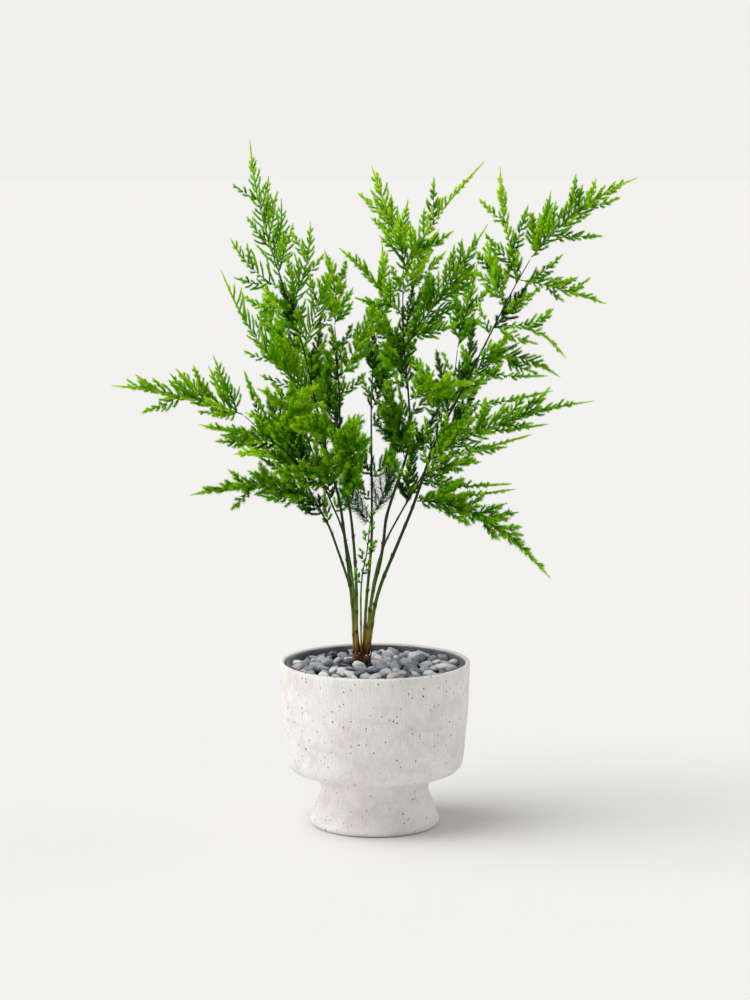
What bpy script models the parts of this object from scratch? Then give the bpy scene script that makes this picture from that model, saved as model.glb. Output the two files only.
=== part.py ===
"""A footed stoneware pot with a living asparagus fern, built for Blender 4.5.

Metres, +Z up. The origin is the centre of the pot's flat foot, and -Y is the front.
"""

import math

import bmesh
import bpy
from mathutils import Matrix, Vector

# Clearances
GAP = 0.0003  # between two pieces that touch
LINER_SLIP = 0.0012  # the grower pot drops loosely into the outer pot

# Footed pot
FOOT_RADIUS = 0.0615
FOOT_ROLL = 0.008  # height of the rounded foot band
NECK_RADIUS = 0.0505
NECK_HEIGHT = 0.036
BOWL_BASE = 0.052  # height where the underside turns up into the wall
BOWL_CORNER = 0.011  # rounding of that turn
RIM_RADIUS = 0.090
WALL_TAPER = 0.006  # the wall is this much narrower just above its corner
POT_HEIGHT = 0.157
POT_WALL = 0.0045
POT_FLOOR = 0.007
POT_SEGMENTS = 48

# Grower pot inside it
LINER_WALL = 0.0012
LINER_FLOOR = 0.0016
LINER_DROP = 0.0014  # its lip sits this far below the pot's rim
LINER_LIP = 0.0022
LINER_TAPER = 0.004
DRAIN_RADIUS = 0.0045
DRAIN_CIRCLE = 0.042
DRAIN_COUNT = 4

# Filling
PEBBLE_DEPTH = 0.009  # mean depth of the pebble layer at the wall
PEBBLE_MOUND = 0.005  # how much higher it stands at the crown
PEBBLE_BUMP = 0.0028
PEBBLE_PITCH = 0.014
FILL_BELOW_RIM = 0.0085  # the pebbles at the wall lie this far below the rim

# Rootstock, a knobbly woody crown that the stems rise from
CROWN_OFFSET = (-0.013, 0.015)
CROWN_RADIUS = 0.0095
CROWN_SUNK = 0.030  # part of it that is buried below the soil's surface
CROWN_RISE = 0.0065  # part of it that shows above the pebbles

# Plant
CANOPY_HEIGHT = 0.490  # crown to highest tip
CANOPY_SPREAD = 0.490  # leftmost to rightmost tip
STEM_SIDES = 6
STEM_STEP = 0.022  # length of one straight stretch of a stem
STEM_TIP_RADIUS = 0.0006
STEM_RING_RADIUS = 0.0066  # circle that the stems' feet stand on
FROND_THICKNESS = 0.0030
FROND_STATIONS = 8
SIDE_SLOPE = 0.50  # a frond beside a stem widens no faster than this from its foot
END_SLOPE = 1.2  # a frond on the end of a stem has room to widen faster
FROND_ROOT = 0.0007

# A stem: its route in hundredths of the canopy's spread (x, y) and height (z),
# measured from the crown, and its radius at the foot. Its first point is its foot,
# whose x and y only give the side of the crown that it stands on.
STEMS = {
    "stem_left_arch": (
        0.0015,
        [
            (-3, 0, 0), (-2, 0, 12), (-4, -2, 19), (-6, -3, 25),
            (-9, -5, 31), (-13, -8, 39), (-18, -11, 44), (-22, -13, 48),
        ],
    ),
    "stem_left_tall": (
        0.0018,
        [
            (-2, 2, 0), (-2, 1, 12), (-4, -1, 29), (-6, -2, 37),
            (-9, -4, 51), (-11, -5, 60), (-14, -6, 70), (-15, -6, 73),
        ],
    ),
    "stem_left_back": (
        0.0013,
        [(-1, 3, 0), (-2, 4, 16), (-4, 7, 24), (-7, 9, 31), (-11, 13, 42), (-14, 17, 52)],
    ),
    "stem_centre_left": (
        0.0018,
        [(-2, -2, 0), (-1, -3, 15), (-2, -5, 28), (-4, -7, 40), (-4, -6, 49), (-5, -3, 64)],
    ),
    "stem_low_sprig": (
        0.0011,
        [(0, -3, 0), (0, -4, 14), (1, -5, 20), (2, -6, 29)],
    ),
    "stem_centre": (
        0.0017,
        [(1, 3, 0), (1, 3, 10), (2, 4, 22), (2, 5, 35), (2, 7, 51), (3, 8, 61)],
    ),
    "stem_centre_top": (
        0.0019,
        [
            (2, -2, 0), (2, -1, 11), (4, -3, 20), (5, -4, 28),
            (9, -5, 41), (9, -5, 51), (8, -4, 62), (8, -3, 77),
        ],
    ),
    "stem_right_back": (
        0.0012,
        [
            (2, 2, 0), (2, 4, 11), (4, 7, 19), (7, 9, 25),
            (13, 14, 35), (16, 16, 42), (18, 18, 50), (19, 18, 58),
        ],
    ),
    "stem_right_main": (
        0.0019,
        [
            (3, 0, 0), (3, 0, 11), (7, -3, 22), (10, -6, 30), (14, -8, 42),
            (18, -8, 50), (23, -8, 60), (28, -8, 70), (32, -7, 77),
        ],
    ),
}
TIP = None  # a frond with this height carries on from the end of its stem

# A frond: its stem, the height where it joins, how its midrib runs from there to its middle
# and to its tip, its half-widths to the left and right of the midrib as seen from the front,
# all in hundredths of the canopy, and how far its face turns down and to the right, in degrees.
FRONDS = {
    "frond_arch_tip": ("stem_left_arch", TIP, (-12, -3, 4), (-24, -6, 6), 2, 8, 15, 0),
    "frond_arch_low": ("stem_left_arch", 31, (-10, -4, 3), (-23, -9, 2), 2.5, 5, 25, 0),
    "frond_arch_light": ("stem_left_arch", 43, (-6, -6, 2), (-13, -10, 4), 2.5, 2.5, 35, 0),
    "frond_arch_plume": ("stem_left_arch", 41, (2, -3, 7), (7, -6, 13), 3, 2.5, 10, 25),
    "frond_arch_mid": ("stem_left_arch", 38, (-6, 3, 2), (-12, 7, 1), 2.5, 4.5, -20, 0),
    "frond_arch_back": ("stem_left_arch", 35, (-4, 6, 5), (-9, 13, 9), 4, 4, 45, 0),
    "frond_tall_tip": ("stem_left_tall", TIP, (-4, 2, 13), (-6, 5, 26), 2.5, 7, 0, -25),
    "frond_tall_left": ("stem_left_tall", 71, (-6, -2, 4), (-10, -5, 10), 0.8, 5, 15, 0),
    "frond_tall_right": ("stem_left_tall", 68, (3, -3, 7), (4, -6, 16), 4, 2, 0, 30),
    "frond_second_left": ("stem_left_tall", 51, (-10, -4, 10), (-17, -8, 24), 1, 6, 0, -20),
    "frond_tall_inner": ("stem_left_tall", 60, (3, -2, 8), (6, -6, 17), 4, 3, 0, 25),
    "frond_tall_outer": ("stem_left_tall", 62, (-4, 4, 5), (-8, 9, 10), 2.5, 4, 10, -20),
    "frond_left_bright": ("stem_left_tall", 43, (-6, -6, 6), (-12, -11, 10), 4, 4, 30, 0),
    "frond_left_front": ("stem_left_tall", 34, (-5, -9, 3), (-12, -14, 3), 2.5, 2.5, 50, 0),
    "frond_back_tip": ("stem_left_back", TIP, (-3, 3, 8), (-6, 8, 16), 4, 5, 0, 35),
    "frond_back_left": ("stem_left_back", 37, (-7, 4, 5), (-14, 9, 8), 4, 4, -25, 0),
    "frond_back_right": ("stem_left_back", 44, (3, 4, 7), (6, 9, 14), 4, 4, 0, -35),
    "frond_inner_tip": ("stem_centre_left", TIP, (0, 2, 7), (-2, 4, 14), 4, 4, 0, 30),
    "frond_inner_left": ("stem_centre_left", 47, (-4, 7, 7), (-9, 12, 15), 4, 4.5, 0, -30),
    "frond_inner_right": ("stem_centre_left", 54, (4, 2, 7), (7, 5, 15), 3.5, 3.5, 0, -30),
    "frond_front_clump": ("stem_centre_left", 31, (0, -8, 11), (3, -16, 18), 4, 5, 35, 0),
    "frond_front_left": ("stem_centre_left", 42, (-4, -6, 4), (-8, -11, 6), 4.5, 4.5, 50, 0),
    "frond_centre_tip": ("stem_centre", TIP, (1, 1, 9), (1, 4, 18), 3, 3, 0, 40),
    "frond_centre_back": ("stem_centre", 50, (2, 7, 6), (4, 14, 10), 4, 4, 50, 0),
    "frond_dark_left": ("stem_centre", 25, (-4, -1, 6), (-6, -1, 14), 3, 2.5, 0, 20),
    "frond_dark_right": ("stem_centre", 27, (3, 1, 6), (4, 3, 13), 3, 3, 0, -25),
    "frond_top_left": ("stem_centre_top", TIP, (-3, 2, 8), (-6, 5, 17), 5.5, 4, 0, 25),
    "frond_top_right": ("stem_centre_top", 73, (6, -3, 11), (15, -7, 22), 4.5, 4, 0, -25),
    "frond_upper_left": ("stem_centre_top", 66, (-6, -2, 7), (-12, -6, 13), 2, 3, 15, 0),
    "frond_upper_mid": ("stem_centre_top", 70, (3, 4, 6), (7, 8, 12), 4, 3, 0, -20),
    "frond_upper_right": ("stem_centre_top", 60, (8, 2, 11), (16, 6, 23), 5, 4.5, 0, 25),
    "frond_middle_left": ("stem_centre_top", 54, (-3, 5, 7), (-7, 9, 14), 4, 4, 0, -35),
    "frond_middle_right": ("stem_centre_top", 50, (6, -4, 3), (12, -8, 4), 3, 2.5, 35, 0),
    "frond_front_fan": ("stem_centre_top", 39, (-2, -7, 8), (-4, -12, 16), 5, 4.5, 20, 10),
    "frond_rear_tip": ("stem_right_back", TIP, (2, 2, 8), (4, 6, 16), 4, 4, 0, 35),
    "frond_rear_left": ("stem_right_back", 45, (-4, 3, 6), (-8, 7, 12), 4, 4, 0, -30),
    "frond_rear_right": ("stem_right_back", 48, (6, 3, 6), (12, 7, 10), 4, 3, 20, 0),
    "frond_rear_low": ("stem_right_back", 33, (6, 3, 2), (12, 7, 2), 4, 4, 35, 0),
    "frond_main_tip": ("stem_right_main", TIP, (9, -3, 9), (19, -7, 15), 5.5, 3, 10, -15),
    "frond_main_left": ("stem_right_main", 74, (-3, 2, 9), (-4, 5, 20), 2.5, 2.5, 0, 30),
    "frond_main_right": ("stem_right_main", 73, (8, 3, -2), (17, 6, -5), 3, 2.5, 25, 0),
    "frond_main_cluster": ("stem_right_main", 68, (-2, 3, 6), (-3, 7, 12), 4, 3, 0, -35),
    "frond_right_upper": ("stem_right_main", 64, (7, -4, 0), (13, -8, -5), 4, 3, 30, 0),
    "frond_right_middle": ("stem_right_main", 58, (8, 3, 0), (16, 7, -4), 4, 3, 35, 0),
    "frond_right_long": ("stem_right_main", 40, (15, -4, 7), (30, -9, 11), 4.5, 2, 20, 0),
    "frond_lower_right": ("stem_right_main", 31, (13, -6, -3), (25, -12, -13), 6, 2.5, 20, 0),
}

FRONT = Vector((0, -1, 0))


def clear_scene():
    """Remove whatever the startup file holds."""
    for item in list(bpy.data.objects):
        bpy.data.objects.remove(item, do_unlink=True)


def make_material(name, colour, roughness, metallic=0.0):
    """A Principled material of one colour."""
    material = bpy.data.materials.new(name)
    material.use_nodes = True
    shader = material.node_tree.nodes["Principled BSDF"]
    shader.inputs["Base Color"].default_value = (*colour, 1.0)
    shader.inputs["Roughness"].default_value = roughness
    shader.inputs["Metallic"].default_value = metallic
    material.diffuse_color = (*colour, 1.0)
    return material


def stoneware_material():
    """Pale unglazed stoneware."""
    return make_material("pale_stoneware", (0.80, 0.77, 0.73), 0.85)


def plastic_material():
    """Dark grey nursery plastic."""
    return make_material("nursery_plastic", (0.05, 0.055, 0.06), 0.5)


def soil_material():
    """Peat compost."""
    return make_material("peat_compost", (0.045, 0.03, 0.02), 0.95)


def pebble_material():
    """Blue-grey river pebbles."""
    return make_material("grey_pebble", (0.38, 0.40, 0.43), 0.6)


def wood_material():
    """The crown's brown corky skin."""
    return make_material("corky_crown", (0.28, 0.15, 0.06), 0.8)


def stem_material():
    """Dark green wiry stem."""
    return make_material("wiry_stem", (0.06, 0.11, 0.03), 0.45)


def frond_material():
    """Bright green foliage."""
    return make_material("fern_foliage", (0.17, 0.42, 0.03), 0.5)


def finish_object(bm, name, material):
    """Put a finished bmesh into the scene as a smooth-shaded object."""
    bmesh.ops.recalc_face_normals(bm, faces=bm.faces)
    mesh = bpy.data.meshes.new(name)
    bm.to_mesh(mesh)
    bm.free()
    mesh.shade_smooth()
    mesh.set_sharp_from_angle(angle=math.radians(35))
    mesh.materials.append(material)
    made = bpy.data.objects.new(name, mesh)
    bpy.context.scene.collection.objects.link(made)
    return made


def arc(centre, radius, start, end, steps):
    """Points (r, z) on an arc about a centre, with angles in degrees from +r towards +z."""
    points = []
    for step in range(steps + 1):
        angle = math.radians(start + (end - start) * step / steps)
        points.append((centre[0] + radius * math.cos(angle), centre[1] + radius * math.sin(angle)))
    return points


def turned(name, outline, material, segments=POT_SEGMENTS):
    """Spin an outline of (r, z) points about the Z axis. It starts and ends on the axis."""
    bm = bmesh.new()
    verts = [bm.verts.new((radius, 0, height)) for radius, height in outline]
    edges = [bm.edges.new(pair) for pair in zip(verts, verts[1:])]
    bmesh.ops.spin(
        bm, geom=verts + edges, cent=(0, 0, 0), axis=(0, 0, 1), angle=math.tau, steps=segments, use_merge=True
    )
    bmesh.ops.remove_doubles(bm, verts=bm.verts, dist=1e-6)
    return finish_object(bm, name, material)


def wall_radius(height):
    """The outer pot's wall radius at a height, with a slight outward bow."""
    low = BOWL_BASE + BOWL_CORNER
    share = (height - low) / (POT_HEIGHT - low)
    return RIM_RADIUS - WALL_TAPER * (1 - share) ** 1.6


def bore_radius(height):
    """The outer pot's inner radius at a height above its corner."""
    return wall_radius(height) - POT_WALL


def pot_outline():
    """The pot's section, from the middle of its foot up the outside and down the inside."""
    roll = FOOT_ROLL / 2
    corner_height = BOWL_BASE + BOWL_CORNER
    corner_centre = (wall_radius(corner_height) - BOWL_CORNER, corner_height)
    lip = POT_WALL / 2
    lip_height = POT_HEIGHT - lip
    cavity_low = BOWL_BASE + POT_FLOOR
    inner_corner = BOWL_CORNER * 0.5
    inner_height = cavity_low + inner_corner
    points = [(0, 0), (FOOT_RADIUS - roll, 0)]
    points += arc((FOOT_RADIUS - roll, roll), roll, -60, 60, 4)
    flare_low = FOOT_ROLL
    for share in (0.25, 0.5, 0.75, 1.0):
        height = flare_low + (NECK_HEIGHT - flare_low) * share
        ease = (1 - math.cos(math.pi * share)) / 2
        points.append((FOOT_RADIUS - roll * 0.5 + (NECK_RADIUS - FOOT_RADIUS + roll * 0.5) * ease, height))
    flank = NECK_RADIUS + (corner_centre[0] - NECK_RADIUS) * 0.42
    points.append((NECK_RADIUS + 0.0045, NECK_HEIGHT + (BOWL_BASE - NECK_HEIGHT) * 0.5))
    points.append((flank, BOWL_BASE - (BOWL_BASE - NECK_HEIGHT) * 0.2))
    points += arc(corner_centre, BOWL_CORNER, -75, 0, 4)
    for share in (0.2, 0.45, 0.72):
        height = corner_height + (lip_height - corner_height) * share
        points.append((wall_radius(height), height))
    points += arc((RIM_RADIUS - lip, lip_height), lip, 0, 180, 6)
    for share in (0.6, 0.25):
        height = inner_height + (lip_height - inner_height) * share
        points.append((bore_radius(height), height))
    inner_radius = bore_radius(inner_height)
    points += arc((inner_radius - inner_corner, inner_height), inner_corner, 0, -90, 3)
    points.append((0, cavity_low))
    return points


def liner_floor_height():
    """Height of the grower pot's underside."""
    return BOWL_BASE + POT_FLOOR + GAP


def liner_top():
    """Height of the grower pot's lip."""
    return POT_HEIGHT - LINER_DROP


def liner_radius(height):
    """The grower pot's outer radius: it tapers towards its floor."""
    share = (height - liner_floor_height()) / (liner_top() - liner_floor_height())
    top = bore_radius(liner_top()) - LINER_SLIP - LINER_LIP
    return top - LINER_TAPER * (1 - share)


def liner_outline():
    """The grower pot's section: floor, wall and an outward-rolled lip."""
    low = liner_floor_height()
    top = liner_top()
    under_lip = top - 2 * LINER_LIP
    heel = 0.004
    inner_floor = low + LINER_FLOOR
    return [
        (0, low),
        (liner_radius(low) - heel, low),
        (liner_radius(low + heel), low + heel),
        (liner_radius(under_lip), under_lip),
        (liner_radius(top) + LINER_LIP, under_lip + LINER_LIP * 0.4),
        (liner_radius(top) + LINER_LIP, top - LINER_WALL * 0.5),
        (liner_radius(top) + LINER_LIP * 0.6, top),
        (liner_radius(top) - LINER_WALL * 0.6, top),
        (liner_radius(top) - LINER_WALL, top - LINER_WALL * 0.6),
        (liner_radius(under_lip) - LINER_WALL, under_lip),
        (liner_radius(low + heel) - LINER_WALL, low + heel),
        (liner_radius(low) - heel - LINER_WALL * 0.4, inner_floor),
        (0, inner_floor),
    ]


def helper_cylinder(name, radius, low, high, place=(0, 0), sides=16):
    """An upright cylinder that cuts another piece, left out of the renders."""
    bm = bmesh.new()
    bmesh.ops.create_cone(
        bm, cap_ends=True, segments=sides, radius1=radius, radius2=radius, depth=high - low
    )
    bmesh.ops.translate(bm, verts=bm.verts, vec=(*place, (low + high) / 2))
    mesh = bpy.data.meshes.new(name)
    bm.to_mesh(mesh)
    bm.free()
    cutter = bpy.data.objects.new(name, mesh)
    cutter.hide_render = True
    cutter.display_type = "WIRE"
    bpy.context.scene.collection.objects.link(cutter)
    return cutter


def cut(target, cutter):
    """Subtract a cutter from a piece."""
    boolean = target.modifiers.new(cutter.name, "BOOLEAN")
    boolean.operation = "DIFFERENCE"
    boolean.solver = "EXACT"
    boolean.object = cutter


def build_liner():
    """The grower pot, with round drain holes through its floor."""
    liner = turned("grower_pot", liner_outline(), plastic_material())
    low = liner_floor_height()
    for number in range(DRAIN_COUNT):
        angle = math.tau * (number + 0.5) / DRAIN_COUNT
        place = (DRAIN_CIRCLE * math.cos(angle), DRAIN_CIRCLE * math.sin(angle))
        drain = helper_cylinder(
            f"drain_cutter_{number}", DRAIN_RADIUS, low - 0.001, low + LINER_FLOOR + 0.001, place, 12
        )
        cut(liner, drain)


def fill_top():
    """Height of the pebbles where they meet the grower pot's wall."""
    return POT_HEIGHT - FILL_BELOW_RIM


def soil_top():
    """Height of the soil's surface, under the pebbles."""
    return fill_top() - PEBBLE_DEPTH


def crown_top():
    """Height of the rootstock's top, which the canopy is measured from."""
    return fill_top() + PEBBLE_MOUND + CROWN_RISE


def liner_bore(height):
    """Radius that fits inside the grower pot at a height, with a gap."""
    return liner_radius(height) - LINER_WALL - GAP * 2


def crown_cutter(name, low, high):
    """The space that the rootstock takes up in what surrounds it."""
    return helper_cylinder(name, CROWN_RADIUS + GAP * 2, low, high, CROWN_OFFSET, 16)


def build_soil():
    """The root ball of compost, moulded by the grower pot."""
    low = liner_floor_height() + LINER_FLOOR + GAP
    top = soil_top()
    outline = [
        (0, low),
        (liner_bore(low) - 0.005, low),
        (liner_bore(low + 0.005), low + 0.005),
        (liner_bore(top), top),
        (0, top),
    ]
    soil = turned("soil", outline, soil_material())
    cut(soil, crown_cutter("soil_socket", top - CROWN_SUNK - GAP, top + 0.001))


def pebble_height(x, y):
    """Top of the pebble layer: a low mound with a staggered row of bumps."""
    reach = math.hypot(x, y) / liner_bore(fill_top())
    row = y / (PEBBLE_PITCH * 0.87)
    shift = 0.5 * (round(row) % 2)
    bump = math.cos(math.tau * (x / PEBBLE_PITCH + shift)) * math.cos(math.tau * row / 2) ** 2
    return fill_top() - PEBBLE_BUMP + PEBBLE_MOUND * (1 - reach**2) + PEBBLE_BUMP * bump * (1 - reach**6)


def build_pebbles():
    """The pebble layer as one bumpy ring, with a hole for the rootstock."""
    low = soil_top() + GAP
    rim = liner_bore(fill_top())
    rings = 7
    bm = bmesh.new()
    ring = bmesh.ops.create_circle(bm, cap_ends=False, segments=36, radius=liner_bore(low))["verts"]
    for vert in ring:
        vert.co.z = low
    edges = list({edge for vert in ring for edge in vert.link_edges})
    bmesh.ops.contextual_create(bm, geom=edges)
    for step in range(rings):
        made = bmesh.ops.extrude_edge_only(bm, edges=edges)["geom"]
        edges = [part for part in made if isinstance(part, bmesh.types.BMEdge)]
        radius = rim * (1 - step / rings)
        for vert in (part for part in made if isinstance(part, bmesh.types.BMVert)):
            flat = vert.co.xy.normalized() * radius
            vert.co = (*flat, pebble_height(*flat))
    bmesh.ops.contextual_create(bm, geom=edges)
    bed = finish_object(bm, "pebble_bed", pebble_material())
    cut(bed, crown_cutter("pebble_socket", low - 0.001, crown_top() + 0.001))


def catmull(points, steps):
    """A smooth run of points through the given ones, with the same count on each stretch."""
    ends = [2 * points[0] - points[1], *points, 2 * points[-1] - points[-2]]
    run = []
    for before, start, end, after in zip(ends, ends[1:], ends[2:], ends[3:]):
        for step in range(steps):
            t = step / steps
            run.append(
                0.5
                * (
                    2 * start
                    + (end - before) * t
                    + (2 * before - 5 * start + 4 * end - after) * t**2
                    + (3 * start - before - 3 * end + after) * t**3
                )
            )
    run.append(points[-1])
    return run


def along(run, distance):
    """The point at a distance along a run of points."""
    for start, end in zip(run, run[1:]):
        length = (end - start).length
        if distance <= length:
            return start.lerp(end, distance / length)
        distance -= length
    return run[-1].copy()


def run_length(run):
    """Length of a run of points."""
    return sum((end - start).length for start, end in zip(run, run[1:]))


def tangents(run):
    """Unit direction of the run at each of its points."""
    before = [run[0], *run[:-1]]
    after = [*run[1:], run[-1]]
    return [(end - start).normalized() for start, end in zip(before, after)]


def neighbours(vert):
    """The vertices that share an edge with this one."""
    return [edge.other_vert(vert) for edge in vert.link_edges]


def loft(name, sections, material):
    """Skin a body over rows of points, all of one count, and draw both ends to a point."""
    bm = bmesh.new()
    ring = bmesh.ops.create_circle(bm, cap_ends=False, segments=len(sections[0]), radius=1)["verts"]
    for vert, place in zip(ring, sections[0]):
        vert.co = place
    first = list(ring)
    edges = list({edge for vert in ring for edge in vert.link_edges})
    for section in sections[1:]:
        made = bmesh.ops.extrude_edge_only(bm, edges=edges)["geom"]
        fresh = {part for part in made if isinstance(part, bmesh.types.BMVert)}
        ring = [next(far for far in neighbours(vert) if far in fresh) for vert in ring]
        for vert, place in zip(ring, section):
            vert.co = place
        edges = [edge for edge in made if isinstance(edge, bmesh.types.BMEdge)]
        edges = [edge for edge in edges if all(vert in fresh for vert in edge.verts)]
    for end, section in ((first, sections[0]), (ring, sections[-1])):
        middle = sum(section, Vector()) / len(section)
        bmesh.ops.pointmerge(bm, verts=end, merge_co=middle)
    return finish_object(bm, name, material)


def canopy_vector(x, y, z):
    """A step given in hundredths of the canopy, in metres."""
    return Vector((x * CANOPY_SPREAD / 100, y * CANOPY_SPREAD / 100, z * CANOPY_HEIGHT / 100))


def stem_run(route):
    """Smooth centre line of a stem, from its foot on the crown to its end."""
    crown = Vector((*CROWN_OFFSET, crown_top() + GAP))
    side = Vector((route[0][0], route[0][1], 0)).normalized() * STEM_RING_RADIUS
    points = [crown + side]
    points += [crown + canopy_vector(*point) for point in route[1:]]
    fine = catmull(points, 12)
    count = max(4, round(run_length(fine) / STEM_STEP))
    return [along(fine, run_length(fine) * step / count) for step in range(count + 1)]


def stem_radius(share, foot_radius):
    """A stem's radius: it thins evenly, and faster near its end."""
    return STEM_TIP_RADIUS + (foot_radius - STEM_TIP_RADIUS) * (1 - share**1.7)


def stem_sections(run, foot_radius):
    """Rings of points along a stem."""
    sections = []
    sideways = Vector((1, 0, 0))
    for number, (centre, way) in enumerate(zip(run, tangents(run))):
        sideways = (sideways - sideways.dot(way) * way).normalized()
        other = way.cross(sideways)
        radius = stem_radius(number / (len(run) - 1), foot_radius)
        angles = [math.tau * side / STEM_SIDES for side in range(STEM_SIDES)]
        sections.append([centre + radius * (math.cos(a) * sideways + math.sin(a) * other) for a in angles])
    return sections


def build_stems():
    """All stems. It returns each one's centre line and foot radius."""
    material = stem_material()
    lines = {}
    for name, (foot_radius, route) in STEMS.items():
        run = stem_run(route)
        loft(name, stem_sections(run, foot_radius), material)
        lines[name] = (run, foot_radius)
    return lines


def join_point(run, foot_radius, height):
    """Where a frond joins: (point, stem direction, stem radius) at a height in hundredths."""
    if height is TIP:
        return run[-1], tangents(run)[-1], 0.0
    level = crown_top() + canopy_vector(0, 0, height).z
    for number, (start, end) in enumerate(zip(run, run[1:])):
        if start.z <= level <= end.z:
            share = (level - start.z) / (end.z - start.z)
            radius = stem_radius((number + share) / (len(run) - 1), foot_radius)
            return start.lerp(end, share), (end - start).normalized(), radius
    raise ValueError(f"the stem doesn't reach {height}")


def frond_width(share, full, length, slope):
    """A frond's half-width at a share of its length: quickly full, then tapering to a spike."""
    leaf = math.sin(math.pi * share**0.62) ** 0.8
    return max(FROND_ROOT, min(full * leaf, FROND_ROOT + slope * share * length))


def frond_sections(start, middle, tip, left, right, face, slope):
    """Four-pointed sections of a frond: two edges, and a ridge on each face over the midrib."""
    control = 2 * middle - (start + tip) / 2
    shares = [step / FROND_STATIONS for step in range(FROND_STATIONS + 1)]
    run = [(1 - t) ** 2 * start + 2 * t * (1 - t) * control + t**2 * tip for t in shares]
    length = run_length(run)
    sections = []
    for share, centre, way in zip(shares, run, tangents(run)):
        across = way.cross(face).normalized()
        outward = across.cross(way)
        ridge = FROND_THICKNESS / 2 * (1 - 0.6 * share) * min(1.0, 0.4 + share * 3)
        sections.append(
            [
                centre + across * frond_width(share, right, length, slope),
                centre + outward * ridge,
                centre - across * frond_width(share, left, length, slope),
                centre - outward * ridge,
            ]
        )
    return sections


def build_fronds(lines):
    """All fronds, each starting a hair's breadth off its stem."""
    material = frond_material()
    for name, (stem, height, middle, tip, left, right, nod, swing) in FRONDS.items():
        point, way, radius = join_point(*lines[stem], height)
        reach = canopy_vector(*middle)
        side = reach if height is TIP else reach - reach.dot(way) * way
        start = point + side.normalized() * (radius + GAP)
        end = point + canopy_vector(*tip)
        left *= CANOPY_SPREAD / 100
        right *= CANOPY_SPREAD / 100
        slope = END_SLOPE if height is TIP else SIDE_SLOPE
        turn = Matrix.Rotation(math.radians(swing), 3, "Z") @ Matrix.Rotation(math.radians(nod), 3, "X")
        loft(name, frond_sections(start, point + reach, end, left, right, turn @ FRONT, slope), material)


def build_crown():
    """The rootstock: a knobbly stump, buried in the soil and showing above the pebbles."""
    low = soil_top() - CROWN_SUNK
    top = crown_top()
    shape = [(0.0, 0.55), (0.12, 0.85), (0.35, 0.95), (0.6, 0.88), (0.8, 0.97), (0.93, 1.0), (1.0, 0.82)]
    outline = [(0, low)]
    outline += [(CROWN_RADIUS * width, low + (top - low) * share) for share, width in shape]
    outline.append((0, top))
    crown = turned("rootstock", outline, wood_material(), 14)
    crown.location = (*CROWN_OFFSET, 0)


def main():
    """Build every piece of the potted fern."""
    clear_scene()
    turned("footed_pot", pot_outline(), stoneware_material())
    build_liner()
    build_soil()
    build_pebbles()
    build_crown()
    build_fronds(build_stems())


main()
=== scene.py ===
"""Looks of a potted asparagus fern: thrown stoneware pot, river pebbles, canes and fine foliage.

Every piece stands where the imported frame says. Metres, +Z up, the front faces -Y.
"""

import bisect
import logging
import math
import random
from collections.abc import Iterable, Iterator
from dataclasses import dataclass, field
from enum import Enum, IntEnum

import bmesh
import bpy
import numpy as np
from bmesh.types import BMesh, BMVert
from mathutils import Euler, Matrix, Vector, noise


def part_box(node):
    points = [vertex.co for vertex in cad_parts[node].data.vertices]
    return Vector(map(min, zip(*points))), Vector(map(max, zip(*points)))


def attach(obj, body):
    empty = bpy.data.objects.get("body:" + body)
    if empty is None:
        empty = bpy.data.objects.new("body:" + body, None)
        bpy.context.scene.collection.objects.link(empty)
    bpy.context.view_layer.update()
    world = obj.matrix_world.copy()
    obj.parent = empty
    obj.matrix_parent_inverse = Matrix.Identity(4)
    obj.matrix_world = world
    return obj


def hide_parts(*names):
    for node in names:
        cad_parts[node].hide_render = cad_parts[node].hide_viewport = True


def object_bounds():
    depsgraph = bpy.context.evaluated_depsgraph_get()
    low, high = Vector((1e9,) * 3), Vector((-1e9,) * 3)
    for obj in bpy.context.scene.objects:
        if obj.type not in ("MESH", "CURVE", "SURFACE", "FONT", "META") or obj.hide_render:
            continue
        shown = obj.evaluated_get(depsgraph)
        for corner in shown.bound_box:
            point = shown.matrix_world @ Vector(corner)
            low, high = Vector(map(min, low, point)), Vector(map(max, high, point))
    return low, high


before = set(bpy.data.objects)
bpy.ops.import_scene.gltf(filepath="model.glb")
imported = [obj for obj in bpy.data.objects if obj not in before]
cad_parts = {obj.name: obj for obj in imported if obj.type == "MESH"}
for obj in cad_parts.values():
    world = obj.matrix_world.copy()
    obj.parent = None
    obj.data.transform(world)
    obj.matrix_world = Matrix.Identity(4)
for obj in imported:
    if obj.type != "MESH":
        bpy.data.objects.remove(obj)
CAD_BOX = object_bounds()

Socket = bpy.types.NodeSocket

log = logging.getLogger("fern")
BODY = "root"
MM = 0.001
SAME_PLACE = 1e-6  # two CAD corners this near are one
UV = "OFBake"  # the foliage's map: tint of a needle across, its age upwards


# ---------------------------------------------------------------- small tools


def linear(code: str) -> tuple[float, float, float, float]:
    """Turns an sRGB hex colour to linear.

    Args:
        code: six hex digits, such as "6fb51e".

    Returns:
        Red, green, blue and an alpha of 1.
    """
    parts = [int(code[i : i + 2], 16) / 255 for i in (0, 2, 4)]
    red, green, blue = (c / 12.92 if c <= 0.04045 else ((c + 0.055) / 1.055) ** 2.4 for c in parts)
    return red, green, blue, 1.0


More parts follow.
